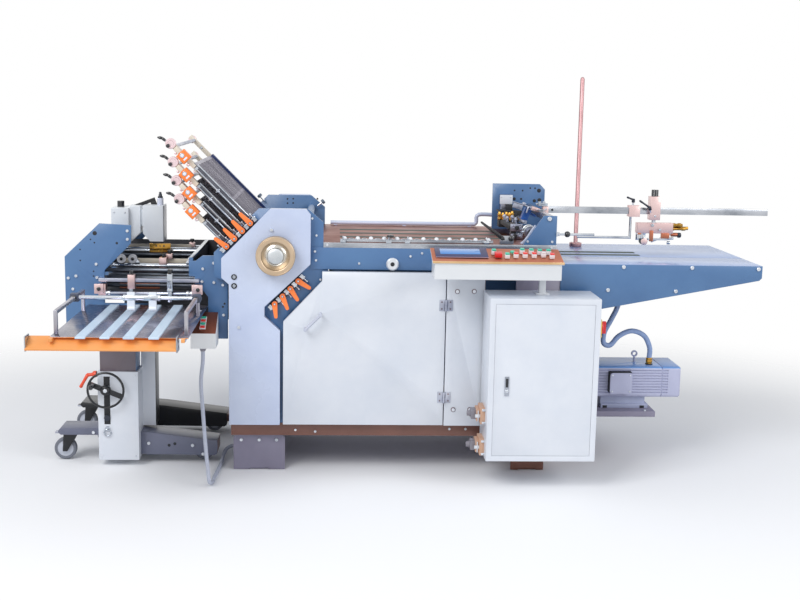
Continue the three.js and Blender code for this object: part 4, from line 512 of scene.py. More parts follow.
# Blackened steel: a dull near-black for black parts. The same finish is painted shade where thin dark
# discs, plates and sheets stand in for the shade inside holes, sockets, slots and recesses
black_and_painted_shade = moulded("blackened_steel", "15171b", "24272d", 3.0, 0.6)
# Painted shade: thin near-black discs on the rear plate stand in for the shade inside its holes
plate_holes = bmesh.new()
for x, z, radius in ((80, 986, 3.6), (104, 987, 3.6), (80, 968, 3.6), (104, 969, 3.6), (206, 988, 4),
                     (122, 940, 5)):
    turned(plate_holes, (x, 318, z), front, [(-0.3, radius), (0.2, radius), (0.4, radius * 0.8)], 16)
finish_piece(plate_holes, "rear_plate_holes", "machine", "dark_steel", black_and_painted_shade)
knob_slate = moulded("slate_thermoset_knob", "56677c", "47576b", 4.0, 0.4, 0.1, 0.2)
rear_knobs, rear_studs = bmesh.new(), bmesh.new()
for x, z, dx, dz in ((-29, 992, -12, 13), (222, 972, 15, 12), (214, 893, 14, -6), (185, 854, 10, -10)):
    rod(rear_studs, (x - dx, 300, z - dz), (x + dx * 0.6, 300, z + dz * 0.6), 4, 16)
    turned(rear_knobs, (x + dx * 0.2, 300, z + dz * 0.2), (dx, 0, dz),
           [(0, 6), (1, 9.6), (9, 10.4), (12, 8.6), (13, 0)], 22)
finish_piece(rear_studs, "rear_plate_studs", "machine", "bright_steel", zinc)
finish_piece(rear_knobs, "rear_plate_knobs", "machine", "frame_grey", knob_slate, smooth=50)
screws("knurled_knob", "machine", [(495, -335, 803)], front, 23.5, 16, zinc, socket=0.42, sides=48)
finish_piece(turned(bmesh.new(), (495, -338, 803), front, [(0, 8.5), (10, 8.5), (11.5, 7.0)], 6),
             "knob_hexagon", "machine", "dark_steel", black_and_painted_shade)

# Chrome clamps between the levers: short plated posts and toggle blocks that hold the nip springs
# of the fold rollers. They are polished steel on a blackened strip behind the painted covers.
chrome = bare_metal("polished_chrome", "dfe4ea", "8f98a6", 1.5, roughness=0.12, spread=0.08)
clamp_strip, clamp_parts = bmesh.new(), bmesh.new()
across = Matrix.Rotation(radians(-45), 4, "Y")
first_pins, lever_pitch = {"upper": (-31.0, 948.8), "lower": (146.0, 736.2)}, 28.99
for (first_x, first_z), side in zip(first_pins.values(), (-1, 1)):
    for k in range(5):
        x, z = first_x - (k - 0.5) * lever_pitch, first_z - (k - 0.5) * lever_pitch
        here = Matrix.Translation((x, -338, z)) @ across
        brick(clamp_parts, -7, 7, -5, 7.5, -9, 9, here)
        rod(clamp_parts, here @ Vector((0, -10, 4)), here @ Vector((0, 6, 4)), 3.4, 14)
        rod(clamp_parts, here @ Vector((-10, -2, -5 * side)), here @ Vector((10, -2, -5 * side)), 2.2, 12,
            0.4)
        tip = here @ Vector((0, 0, 9 * -side))
        reach = here @ Vector((0, 0, 21 * -side))
        rod(clamp_parts, tip, reach, 2.6, 12, 0.4)
        turned(clamp_parts, reach, reach - tip, [(-1, 4.6), (0, 5.4), (5, 5.4), (6, 4.4)], 12)
    mid = Matrix.Translation((first_x - 1.5 * lever_pitch, -331.5, first_z - 1.5 * lever_pitch)) @ across
    brick(clamp_strip, -78, 78, -2.4, 1.2, -13, 13, mid)
finish_piece(clamp_strip, "clamp_backing_strips", "machine", "dark_steel", black_and_painted_shade, 0.5)
finish_piece(clamp_parts, "nip_spring_clamps", "machine", "bright_steel", chrome, 0.5)
pin_caps = [(x - k * lever_pitch, -356.4, z - k * lever_pitch) for x, z in first_pins.values()
            for k in range(4)]
screws("lever_pin_caps", "machine", pin_caps, front, 3.6, 2.4, chrome, socket=0.5, sides=14)

# Fold rollers: steel cores ground true, with a spiral knurl that grips the sheet. They lie between
# the side plates, and show as dark bands behind the buckle plates' mouths.
knurled_steel = bare_metal("spiral_knurled_steel", "7d838d", "4a4f58", 3.0, (1.0, 0.12, 1.0), 0.34)
dress("fold_roller_1", knurled_steel, 1.0)
dress("fold_roller_2", knurled_steel, 1.0)

# Covers of the fold unit: folded sheet steel in pale blue gloss enamel, bright at the folded edges,
# fixed with cap screws and two quarter-turn locks at each left edge.
pale_enamel = stoved_enamel("pale_blue_enamel", "cbd5ea", "bac5df", roughness=0.24)
dress("front_cover", pale_enamel, 1.8, 3)
dress("rear_cover", pale_enamel, 1.8, 3)
screws("cover_screws", "machine", *both_sides(365, (48, 927), (-72, 563)), 6.4, 6, zinc)
locks_ring, locks_core = bmesh.new(), bmesh.new()
for z in (751, 718):
    for y, way in ((-365, -1), (365, 1)):
        turned(locks_ring, (-89, y, z), (0, way, 0), [(-1, 6.5), (-1, 10.5), (2.4, 10.5), (3.4, 9.4),
               (3.4, 7.2), (1.2, 6.5), (-1, 6.5)], 30)
        turned(locks_core, (-89, y, z), (0, way, 0), [(-1, 6.8), (2, 6.8), (2.8, 5.9)], 26)
        brick(locks_core, -93.5, -84.5, min(y, y + way * 4.2), max(y, y + way * 4.2), z - 1.3, z + 1.3)
finish_piece(locks_ring, "cover_lock_rings", "machine", "dark_steel", black_and_painted_shade, 0.2)
finish_piece(locks_core, "cover_lock_cores", "machine", "bright_steel", chrome, 0.2)

# Handwheel: a turned aluminium wheel, champagne-gold anodised on its rim, with a bright dished
# face and a satin domed cap. It turns the fold rollers by hand when a jam is cleared.
gold_anodised = bare_metal("champagne_anodised_rim", "d2bda3", "b9a288", 1.2, (1.0, 0.3, 1.0), 0.34)
bright_dish = bare_metal("bright_turned_dish", "e9e6df", "b9b4aa", 0.9, (1.0, 0.3, 1.0), 0.2)
satin_cap = bare_metal("satin_domed_cap", "dcdfe0", "b4babf", 2.0, roughness=0.36)
wheel_face = (65, -385, 836)
rim = bmesh.new()
turned(rim, wheel_face, front, [(-20, 15), (-20, 17.2), (-0.5, 17.2), (0, 40), (0, 70.5), (1.5, 72),
                                (36, 72), (38, 71.3), (39.5, 69.6), (39.8, 67.0), (39.2, 66.2),
                                (39.8, 65.4), (40, 60), (39.6, 54.5), (38.5, 52.8), (37, 52), (22, 52),
                                (20, 51), (20, 15), (-20, 15)], 72)
wheel = finish_piece(rim, "handwheel_rim", "main_roller", "gold_wheel", gold_anodised, smooth=28)
dish = bmesh.new()
turned(dish, wheel_face, front, [(16, 14), (21, 51.6), (23, 51.6), (27, 44.5), (30.5, 36.5), (31.2, 35.6),
       (30.2, 34.8), (30.8, 33.4), (30, 31.5), (24, 30.5), (24, 14), (16, 14)], 64)
finish_piece(dish, "handwheel_dish", "main_roller", "gold_wheel", bright_dish, smooth=26)
cap = bmesh.new()
turned(cap, wheel_face, front, [(15, 15.5), (24, 29.6), (33, 29.6), (34.6, 28.4), (36.5, 24), (37.8, 17),
       (38.5, 9), (38.7, 0)], 56)
finish_piece(cap, "handwheel_cap", "main_roller", "bright_steel", satin_cap, smooth=24)
shaft = bmesh.new()
turned(shaft, (65, -342.5, 836), front, [(0, 14.4), (0.6, 15), (30, 15)], 32)
finish_piece(shaft, "handwheel_shaft", "main_roller", "dark_steel", knurled_steel)
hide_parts("handwheel")

# Clamp levers: moulded orange nylon, slim and tapering, each with a rounded tip and a turned hub.
# A pin through the hub holds them in front of the side plate.
def flat_bar(shape, outline, y0, y1):
    # A flat bar whose outline, seen from the front, is given in millimetres
    near, far = ([shape.verts.new((p + Vector((0, y, 0))) / 1000) for p in outline] for y in (y0, y1))
    shape.faces.new(near)
    shape.faces.new(far[::-1])
    for j in range(len(outline)):
        k = (j + 1) % len(outline)
        shape.faces.new((near[k], near[j], far[j], far[k]))
    bmesh.ops.recalc_face_normals(shape, faces=shape.faces)


orange_nylon = moulded("orange_nylon", "ff8a45", "f77c36", 7.0, 0.36, coat=0.2)
for row, first in first_pins.items():
    for k, angle in enumerate((137, 135, 137, 145) if row == "upper" else (-31, -57, -68, -84)):
        node = f"{row}_lever_{k + 1}"
        x, z = first[0] - k * lever_pitch, first[1] - k * lever_pitch
        lever = bmesh.new()
        way = Vector((cos(radians(angle)), 0, sin(radians(angle))))
        off = Vector((-way.z, 0, way.x))
        outline = []
        for middle, radius, start in ((Vector((x, 0, z)) + way * 48, 6.6, -80),
                                      (Vector((x, 0, z)), 10.6, 100)):
            outline += [middle + way * (radius * cos(radians(start + 20 * j))) + off *
                        (radius * sin(radians(start + 20 * j))) for j in range(9)]
        flat_bar(lever, outline, -345.6, -354.6)
        turned(lever, (x, -353.6, z), front, [(0, 9.4), (2.2, 9.4), (2.6, 8.8), (2.6, 5.2), (0, 5.2),
                                              (0, 9.4)], 26)
        piece = finish_piece(lever, node + "_nylon", carried_by[node], "orange_lever", orange_nylon, 1.1, 3)
        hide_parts(node)


# Housing panels: an access door with a bow handle on two plated hinges, a fixed panel and a rear
# panel, all folded sheet steel. The front ones are off-white powder coat, the rear one steel blue.
white_coat = stoved_enamel("off_white_powder_coat", "dde1e8", "d0d6e0", roughness=0.3)
handle_grey = stoved_enamel("pale_grey_handle_enamel", "c3c8d6", "aeb4c6", 2.0, 0.28)
hinge_plate = bare_metal("plated_hinge_leaf", "c3c7d4", "8f94a6", 1.6, roughness=0.3)
hinge_zones = [within(660, 730, -378, -362.9, z - 22, z + 22) for z in (301, 653)]
dress("access_door", white_coat, 1.4, parts=(
    (handle_grey, within(160, 245, -410, -365.3, 545, 655)), (hinge_plate, hinge_zones[0]),
    (hinge_plate, hinge_zones[1])))
dress("fixed_panel", white_coat, 1.4, parts=((hinge_plate, hinge_zones[0]), (hinge_plate, hinge_zones[1])))
# Hinge screws: small countersunk heads, browned in their slots
hinge_brown = bare_metal("browned_screws", "8d7f86", "5d5258", 1.0, roughness=0.4)
for side, body in ((-1, "access_door"), (1, "machine")):
    places = [(697 + side * 16, -368, z + dz) for z in (301, 653) for dz in (-13, 13)]
    screws(f"hinge_screws_{body}", body, places, front, 3.2, 1.6, hinge_brown, slot="dark_steel", sides=12)
panel_places = [(738, -365, 706), (801, -365, 707), (734, -365, 253), (797, -365, 254)]
screws("fixed_panel_washers", "machine", panel_places, front, 9.2, 2, hinge_brown, slot="dark_steel",
       socket=0.2, sides=28)
screws("fixed_panel_screws", "machine", [(x, y - 1.8, z) for x, y, z in panel_places], front, 6.4, 5, zinc)
dress("rear_panel", steel_blue, 1.2)
screws("rear_panel_screws", "machine", [(x, 330, z) for x in (275, 520, 810, 1060) for z in (212, 758)],
       rear, 5, 4, zinc)

# Cooling louvres of the rear panel: pressed slots in rows, made by one tree that sets a like piece
# at even steps along a line.
def row_tree():
    tree, given = begun_tree("row_of_pieces", "Row", Piece="Geometry", Count="Int", Step="Vector",
                             Rows="Int", Row_Step="Vector", Finish="Material")
    line = add_node(tree, "GeometryNodeMeshLine", Count=given["Count"], Offset=given["Step"])
    rows = add_node(tree, "GeometryNodeMeshLine", Count=given["Rows"], Offset=given["Row Step"])
    grid = add_node(tree, "GeometryNodeInstanceOnPoints", Points=rows.outputs[0], Instance=line.outputs[0])
    spots = add_node(tree, "GeometryNodeRealizeInstances", Geometry=grid.outputs[0])
    pieces = add_node(tree, "GeometryNodeInstanceOnPoints", Points=spots.outputs[0],
                      Instance=given["Piece"])
    return ended_tree(tree, "Row", pieces, given["Finish"])


even_row = row_tree()


def row_of(name, body, slot, shape, count, step, material, rows=1, row_step=(0, 0, 0), edge=0.0, smooth=38,
           parts=()):
    first = bpy.data.meshes.new(name)
    shape.to_mesh(first)
    shape.free()
    grown = grown_by(even_row, bpy.data.objects.new(name, first),
                     {"Count": count, "Step": [s / 1000 for s in step], "Rows": rows,
                      "Row Step": [s / 1000 for s in row_step], "Finish": material})
    return finish_piece(grown, name, body, slot, material, edge, smooth=smooth, parts=parts)


louvre = bmesh.new()
turned(louvre, (420, 330.4, 300), (1, 0, 0), [(0, 0.5), (4, 5.5), (86, 5.5), (90, 0.5)], 10)
row_of("rear_louvres", "machine", "frame_blue", louvre, 5, (118, 0, 0), steel_blue, rows=9,
       row_step=(0, 0, 22))

# Register table: copper-brown anodised sheet, brushed along the feed, on ground steel bars. The air
# rail behind it is a bent tube in pale blue enamel, and suction holes and belts lie in rows.
copper_sheet = bare_metal("brushed_copper_brown_sheet", "9c6a5e", "7f5147", 1.6, (0.05, 1.0, 1.0), 0.34)
ground_bar = bare_metal("ground_steel_bar", "c2c6cd", "8b9098", 1.4, (0.08, 1.0, 1.0), 0.26)
dress("register_table", copper_sheet, 0.8, parts=(
    (pale_enamel, lambda c, n: c.z > 880.6), (ground_bar, lambda c, n: abs(c.y) > 317.6)))
# Painted shade: thin near-black discs in rows stand in for the shade inside the table's suction holes
slot = bmesh.new()
turned(slot, (330, -236, 880.15), up, [(0, 7), (0.35, 7), (0.5, 6.2)], 14)
row_of("register_suction_holes", "machine", "dark_steel", slot, 11, (52, 0, 0), black_and_painted_shade, rows=2,
       row_step=(0, 40, 0))
belt = bmesh.new()
brick(belt, 300, 930, -150, -118, 880.1, 881.2)
# Woven transport belts: dull green-grey fabric that runs flush in the table
belt_fabric = moulded("woven_transport_belt", "5d6a66", "46504d", 2.2, 0.75, 0.3)
row_of("transport_belts", "machine", "grey_rubber", belt, 3, (0, 130, 0), belt_fabric)
screws("register_bar_screws", "machine", [(x, -335, 870.5) for x in (252, 1090)], front, 4.6, 4, zinc)
screws("air_rail_screws", "machine", [(x, 313, 880) for x in (290, 575, 850)], up, 4, 3, zinc)

# Ball rail: a ground steel strip with plated balls in a row, and wire arches between them. The balls
# press the sheet's edge to the table and spin freely in their seats.
rail_strip = bmesh.new()
brick(rail_strip, 300, 872, -323, -303, 880.3, 888.3)
brick(rail_strip, 300, 872, -321.5, -319, 888.3, 893)
rail_piece = finish_piece(rail_strip, "ball_rail_strip", "machine", "bright_steel", ground_bar, 0.6)
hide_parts("ball_rail")
ball = bmesh.new()
bmesh.ops.create_icosphere(ball, subdivisions=3, radius=0.009,
                           matrix=Matrix.Translation((0.3165, -0.313, 0.8928)))
white_ball = moulded("glazed_white_ball", "f1f3f6", "d9dde6", 9.0, 0.16, 0.02, 0.6)
row_of("register_balls", "machine", "bright_steel", ball, 12, (49, 0, 0), white_ball, smooth=80)
arch = bmesh.new()
for k in range(8):
    bow = [(341 + 11 * cos(pi * j / 8), -313, 888.2 + 6.5 * sin(pi * j / 8)) for j in (k, k + 1)]
    rod(arch, bow[0], bow[1], 1.5, 8, 0.1)
row_of("ball_rail_arches", "machine", "bright_steel", arch, 11, (49, 0, 0), chrome)
rail_clamps = bmesh.new()
for x in (300, 470, 540, 835):
    brick(rail_clamps, x, x + 20, -338, -322, 881, 891)
    rod(rail_clamps, (x + 10, -332, 888), (x + 10, -332, 905), 3, 12)
finish_piece(rail_clamps, "rail_clamps", "machine", "bright_steel", chrome, 0.6)
star_knob = bmesh.new()
turned(star_knob, (486, -332, 900), up, [(0, 4), (1, 8), (4, 12.5), (7, 13), (10, 12), (11.5, 8), (12, 0)],
       20)
# Black phenolic knobs: deep gloss with soft highlights
black_phenolic = moulded("black_phenolic", "17181c", "24262c", 12.0, 0.22, 0.03, 0.5)
finish_piece(star_knob, "rail_clamp_knob", "machine", "black_paint", black_phenolic)


# Control cabinet: a wall-box of folded sheet steel on two brackets, in off-white powder coat. Its
# door closes flush in the frame, on hidden hinges at the right and with a swing-handle lock at the left.
dress("cabinet_body", white_coat, 1.6, 3)
lock_zone = within(894, 914, -580, -573.6, 355, 435)
lock_steel = bare_metal("satin_chrome_lock", "b9bec8", "868d99", 1.2, roughness=0.24)
dress("cabinet_door", white_coat, 1.8, 3, parts=((lock_steel, lock_zone),))
finish_piece(turned(bmesh.new(), (904, -578.6, 378), front, [(0, 5.6), (1.6, 5.6), (2.2, 4.8), (2.2, 1.4),
                    (1.0, 1.2), (1.0, 0)], 24), "door_lock_barrel", "cabinet_door", "bright_steel", chrome)
lock_slot = bmesh.new()
brick(lock_slot, 899.5, 908.5, -579.5, -578.6, 392, 424)
# Painted shade: a thin near-black plate stands in for the shade in the recess under the lock's handle
finish_piece(lock_slot, "door_lock_recess", "cabinet_door", "dark_steel", black_and_painted_shade, 0.3)
door_seal = bmesh.new()
for x0, x1, z0, z1 in ((852, 856.4, 132, 698), (1215.8, 1220, 132, 698), (852, 1220, 131.4, 135.4),
                       (852, 1220, 694.8, 698.8)):
    brick(door_seal, x0, x1, -574.2, -566, z0, z1)
# Foam gasket round the door: a grey line that shows the gap
gasket_grey = moulded("grey_foam_gasket", "8d929c", "7b8089", 2.0, 0.8, 0.3)
finish_piece(door_seal, "cabinet_door_gasket", "machine", "grey_rubber", gasket_grey, 0.4)

# Wall plugs of the cabinet: two heavy connectors on each of two levels, with clamp frames, set on
# the cabinet's left side. They are peach plastic under grey die-cast hoods, with plated latches.
plug_shell, plug_hood, plug_latch = bmesh.new(), bmesh.new(), bmesh.new()
for z in (150, 268):
    brick(plug_shell, 819, 836.4, -520, -430, z - 30, z + 30)
    brick(plug_shell, 806, 819.5, -506, -440, z - 22, z + 22)
    brick(plug_hood, 788, 807, -494, -448, z - 17, z + 17)
    turned(plug_hood, (788.5, -471, z), (-1, 0, 0), [(0, 13), (4, 13), (6, 10), (14, 10), (14.5, 9),
           (14.5, 5)], 18)
    for y in (-512, -434):
        rod(plug_latch, (812, y, z - 20), (812, y, z + 20), 2.8, 12)
        brick(plug_latch, 800, 824, y - 2, y + 2, z - 6, z + 6)
    for dz in (-24, 24):
        rod(plug_latch, (836.4, -522, z + dz), (824, -522, z + dz), 5.2, 6)
# Peach thermoset: warm and nearly matt
peach_plastic = moulded("peach_thermoset", "d3ad94", "c0977c", 5.0, 0.5)
hood_grey = moulded("grey_die_cast_hood", "8d8a92", "76737d", 3.0, 0.4, 0.2)
brass = bare_metal("yellow_brass", "d3a451", "9c7330", 1.1, roughness=0.24)
for shape, name, *finish in (
        (plug_shell, "plug_housings", "panel_white", peach_plastic, 1.2),
        (plug_hood, "plug_hoods", "frame_grey", hood_grey, 1.2),
        (plug_latch, "plug_latches", "bright_steel", zinc, 0.4)):
    finish_piece(shape, name, "machine", *finish)

# Main switch: a red handle that turns on a square yellow plate, both moulded plastic, on the
# cabinet's right side. A knurled disc carries the grip bar.
# Red and yellow thermoplastic: strong colour with a soft sheen
switch_red = moulded("switch_red", "e3262c", "cc1d24", 6.0, 0.34, 0.05, 0.3)
switch_yellow = moulded("switch_yellow", "f3cc1f", "e4bb12", 6.0, 0.36, 0.05, 0.3)
switch_y, switch_z = -540, 608
knob_shape = bmesh.new()
turned(knob_shape, (1240.4, switch_y, switch_z), (1, 0, 0), [(0, 21.5), (1.2, 22.8), (8.6, 22.8),
       (10.6, 21.4), (10.8, 0)], 40)
brick(knob_shape, 1250.0, 1262.2, -546, -534, 586, 630)
switch_piece = finish_piece(knob_shape, "main_switch_handle", "main_switch", "red_plastic", switch_red,
                            1.4, 3)
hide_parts("main_switch")
finish_piece(brick(bmesh.new(), 1262.0, 1262.5, -541, -539, 612, 627), "main_switch_pointer",
             "main_switch", "panel_white", white_coat, 0.1)
switch_plate = bmesh.new()
brick(switch_plate, 1238.6, 1241.0, -573, -507, 575, 641)
turned(switch_plate, (1239.5, switch_y, switch_z), (1, 0, 0), [(0, 25), (1.6, 25), (2.2, 24.2),
       (2.2, 23.4), (0.4, 23.2)], 40)
finish_piece(switch_plate, "main_switch_plate", "machine", "gold_wheel", switch_yellow, 0.8)
screws("switch_plate_screws", "machine", [(1241, switch_y + dy, switch_z + dz) for dy in (-28, 28)
                                          for dz in (-28, 28)], (1, 0, 0), 2.6, 1.4, zinc, sides=12)

# Console: a cream steel box under a copper-brown laminate lid with a gold-anodised nose, on a
# square post. Its controls are a touch screen and two rows of lit push buttons.
# Cream powder coat: warmer than the panels, soft gloss
cream_coat = stoved_enamel("cream_powder_coat", "e6e8ea", "dcdfe2", roughness=0.3)
console_copper = bare_metal("copper_brown_laminate", "c8856e", "b0705a", 2.2, (0.08, 1.0, 1.0), 0.44)
nose_gold = bare_metal("gold_anodised_nose", "e5c397", "c49f6f", 1.2, (0.06, 1.0, 1.0), 0.26)
lid_slope = radians(13.83)
dress("control_box", cream_coat, 1.2, parts=(
    (nose_gold, lambda c, n: c.y < -565.2 and c.z > 841.4),
    (console_copper, lambda c, n: c.z > 843.2 + (c.y + 565) * tan(lid_slope))))


def on_lid(x, along, lift=0.0):
    # A spot on the lid, so far up its slope from the front edge and so far off its face
    return Vector((x, -565 + along * cos(lid_slope) - lift * sin(lid_slope),
                   847.1 + along * sin(lid_slope) + lift * cos(lid_slope)))


def lid_brick(shape, x0, x1, along0, along1, low, high):
    tilted_lid = Matrix.Translation(on_lid(0, 0)) @ Matrix.Rotation(lid_slope, 4, "X")
    brick(shape, x0, x1, along0, along1, low, high, tilted_lid)


finish_piece(brick(bmesh.new(), 626, 1097, -571.5, -568.5, 838.5, 846.5), "console_nose_strip", "machine",
             "gold_wheel", nose_gold, 0.8)
bezel, glass, key_bases = bmesh.new(), bmesh.new(), bmesh.new()
lid_brick(bezel, 640, 829, 30, 124, -0.4, 4.6)
lid_brick(glass, 658, 803, 56, 108, 4.2, 5.2)
# Touch screen: deep blue glass with a bright blue picture behind it, glossy enough to mirror lamps
bezel_blue = moulded("navy_screen_bezel", "10185a", "0c124a", 8.0, 0.34, 0.02, 0.15)
screen_glass = moulded("lit_blue_screen", "1f76bd", "1b6cb0", 30.0, 0.1, 0.0, 0.8)
lit = screen_glass.node_tree.nodes["Principled BSDF"]
lit.inputs["Emission Color"].default_value = linear("1468b4")
lit.inputs["Emission Strength"].default_value = 0.3
silver_trim = bare_metal("silver_screen_trim", "c3c3dc", "a4a4c4", 1.4, (0.08, 1.0, 1.0), 0.3)
finish_piece(bezel, "touch_screen_bezel", "machine", "black_paint", bezel_blue, 1.4, 3, parts=(
    (silver_trim, lambda c, n: n.y < -0.8),))
finish_piece(glass, "touch_screen_glass", "machine", "green_plastic", screen_glass, 0.4)
# Push buttons: white square bodies with coloured caps, moulded in clear-looking acrylic
button_white = moulded("button_white", "f1f1f4", "dfe0e6", 4.0, 0.32, 0.04, 0.2)
button_green = moulded("button_green", "35c3a4", "2bb091", 4.0, 0.26, 0.02, 0.5)
button_red = moulded("button_red", "f0433f", "de3632", 4.0, 0.26, 0.02, 0.5)
button_clear = moulded("button_clear", "e8dfe2", "d5cbd0", 4.0, 0.2, 0.02, 0.5)
caps_of = {"green": (button_green, "green_plastic"), "red": (button_red, "red_plastic"),
           "clear": (button_clear, "white_nylon")}
spots = {"green": [(852, 73), (956, 84), (989, 82), (1019, 78), (1051, 78), (896, 37)],
         "red": [(928, 43), (961, 44), (994, 45), (1058, 39)], "clear": [(1029, 52)]}
for colour, (cap_material, cap_slot) in caps_of.items():
    caps = bmesh.new()
    for x, along in spots[colour]:
        lid_brick(key_bases, x - 8.6, x + 8.6, along - 8.6, along + 8.6, -0.3, 14)
        lid_brick(caps, x - 7.8, x + 7.8, along - 7.8, along + 7.8, 13.6, 19)
    finish_piece(caps, f"push_button_caps_{colour}", "machine", cap_slot, cap_material, 1.6, 3)
finish_piece(key_bases, "push_button_bodies", "machine", "white_nylon", button_white, 1.0)

# Stop and start buttons: a red mushroom head and a green flat head, each on its own plunger that
# travels down through the lid, with a bright collar below.
lid_way = Vector((0, -sin(lid_slope), cos(lid_slope)))
dress("stop_button", switch_red, 1.6, 3)
dress("start_button", button_green, 1.2, 3)
collars = bmesh.new()
for x, along, wide in ((865, 46, 9.2), (921, 84, 7.8)):
    turned(collars, on_lid(x, along, -0.4), lid_way, [(0, wide), (2.0, wide), (2.6, wide - 0.8),
           (2.6, wide - 2.2), (0.3, wide - 2.4)], 28)
finish_piece(collars, "button_collars", "machine", "bright_steel", chrome)


# Feeder frame: two cut steel plates in steel-blue enamel, joined by a suction shaft and a square
# clamp bar, with a blackened air valve block bolted to the rear plate.
valve_zone = within(966, 1014, 172, 234.6, 960, 1028)
bar_zone = within(1077, 1099, -325.9, 234.9, 961, 989)
dress("feeder_frame", steel_blue, 1.2, parts=((hinge_plate, valve_zone), (ground_bar, bar_zone),
      (chrome, within(1029, 1051, -325.9, 234.9, 897, 919))))
# Painted shade: thin near-black discs on the rear plate stand in for the shade inside its holes
bare_holes = [(1030, 1042, 3.6), (1064, 1042, 3.6), (1096, 1053, 3.6), (1116, 1053, 3.6), (1133, 1043, 8.5),
              (1030, 1007, 6.5), (1059, 1007, 4.6), (1115, 1000, 7.0), (1136, 1003, 8.5)]
drilled = bmesh.new()
for x, z, radius in bare_holes:
    turned(drilled, (x, 234.9, z), front, [(-0.2, radius), (0.15, radius), (0.35, radius - 0.5)], 20)
finish_piece(drilled, "feeder_plate_holes", "machine", "dark_steel", black_and_painted_shade)
screws("feeder_front_bolt", "machine", [(1079, -334, 979)], front, 8.4, 6, zinc, sides=20)
screws("feeder_foot_screws", "machine", [(x, -334, 893) for x in (1000, 1092)], front, 4.6, 3.5, zinc)

# Suction head: a small air manifold under the valve block, with brass elbows and screw fittings, a
# pink aluminium arm, a blue nylon separator finger and a white cover plate.
finish_piece(brick(bmesh.new(), 960.6, 1013.4, 168.6, 172.2, 990, 1027.6), "valve_cover_plate", "machine",
             "panel_white", white_coat, 1.2)
screws("valve_cover_screws", "machine", [(x, 168.6, 1019) for x in (967, 1006)], front, 2.6, 1.6, zinc,
       sides=12)
head_black, head_cast = bmesh.new(), bmesh.new()
for box in ((986, 1011, 148, 172.2, 966, 990), (948, 1004, 118, 178, 962, 968),
            (956, 976, -146, 172, 916, 934), (962, 982, -152, -120, 890, 920),
            (1014, 1046, 108, 128, 934, 968)):
    brick(head_black, *box)
rod(head_black, (984, -160, 926), (984, -172, 926), 8, 20, 1.5)
brick(head_black, 992, 1034, 112, 168, 922, 966)
brick(head_black, 952, 990, 112, 168, 900, 926)
rod(head_black, (1014, 112, 948), (1014, 96, 948), 12, 20, 1.5)
turned(head_black, (978, -158, 894), front, [(0, 6), (1, 8.6), (6, 9), (7, 7), (7.2, 0)], 18)
for box in ((982, 1006, -148, 120, 910, 924), (960, 1006, -160, -148, 912, 940),
            (962, 1008, -158, -149, 884, 902), (1016, 1032, -96, 120, 936, 948)):
    brick(head_cast, *box)
for x, z, radius in ((970, 930, 7), (996, 934, 6), (1000, 892, 5)):
    turned(head_cast, (x, -159.6, z), front, [(-1, radius), (3, radius), (4, radius - 1), (4, radius - 3),
                                              (2, radius - 3.4), (2, 0)], 20)
for x, y in ((966, 60), (966, -20), (992, 20), (992, -70)):
    rod(head_cast, (x, y, 930), (x, y, 958), 5, 16)
    turned(head_cast, (x, y, 946), up, [(0, 5), (0.6, 8), (7, 8), (7.6, 5)], 6)
finish_piece(head_black, "suction_head_body", "machine", "dark_steel", black_and_painted_shade, 1.0)
finish_piece(head_cast, "suction_head_castings", "machine", "bright_steel", hinge_plate, 0.9)
fittings = bmesh.new()
for x, z in ((951, 931), (965, 928), (979, 931), (992, 929), (1003, 934)):
    turned(fittings, (x, 100, z), up, [(0, 5.4), (1, 7.4), (9, 7.4), (10, 5.6), (16, 5.6), (17, 8),
                                       (25, 8), (26, 5.6), (33, 5)], 14)
    turned(fittings, (x, 94, z + 6), front, [(0, 5), (2, 6.6), (8, 6.6), (10, 5), (12, 4.4)], 6)
brick(fittings, 945, 1009, 102, 112, 934, 944)
finish_piece(fittings, "air_fittings", "machine", "gold_wheel", brass, 0.4)
# Blue nylon: a saturated blue with a soft sheen
blue_nylon = moulded("blue_nylon", "1f5fb4", "1a539f", 6.0, 0.34, 0.05, 0.2)
finger = bmesh.new()
tilted = Matrix.Translation((1040, -20, 966)) @ Matrix.Rotation(radians(24), 4, "Y")
brick(finger, -15, 13, -18, 18, -24, 24, tilted)
brick(finger, 13, 40, -6, 6, 6, 16, tilted)
finish_piece(finger, "separator_finger", "machine", "green_plastic", blue_nylon, 2.4, 3)
steel_bits = bmesh.new()
slanted = Matrix.Translation((986, -130, 906)) @ Matrix.Rotation(radians(18), 4, "Y")
brick(steel_bits, -24, 26, -17, -14, -14, 16, slanted)
rod(steel_bits, slanted @ Vector((-12, -22, 4)), slanted @ Vector((-12, -12, 4)), 4.4, 14)
rod(steel_bits, slanted @ Vector((10, -22, -2)), slanted @ Vector((10, -12, -2)), 4.4, 14)
brick(steel_bits, 1070, 1104, -90, -40, 988.2, 992)
for x, y in ((1086, -66), (1104, -60)):
    rod(steel_bits, (x, y, 1003), (x, y, 1022), 6, 18, 1.2)
rod(steel_bits, (1072, -66, 1012), (1118, -66, 1012), 3.6, 14)
brick(steel_bits, 1082, 1116, -80, -50, 1004.2, 1010)
finish_piece(steel_bits, "suction_head_steel", "machine", "bright_steel", chrome, 0.7)
arm_block, arm_plate = bmesh.new(), bmesh.new()
leaning = Matrix.Translation((1060, -62, 992)) @ Matrix.Rotation(radians(17), 4, "Y")
brick(arm_block, -6, 38, -13, 13, -6, 9, leaning)
brick(arm_plate, -82, -8, -15, 11, 1, 5, leaning)
brick(arm_plate, -82, -44, -15, -11, -18, 4, leaning)
rod(arm_plate, leaning @ Vector((-40, -18, 8)), leaning @ Vector((-40, 14, 8)), 6, 18)
rod(arm_plate, leaning @ Vector((-22, -18, 4)), leaning @ Vector((-22, -18, -22)), 3.4, 14)
finish_piece(arm_plate, "separator_arm_plate", "machine", "bright_steel", hinge_plate, 0.8)
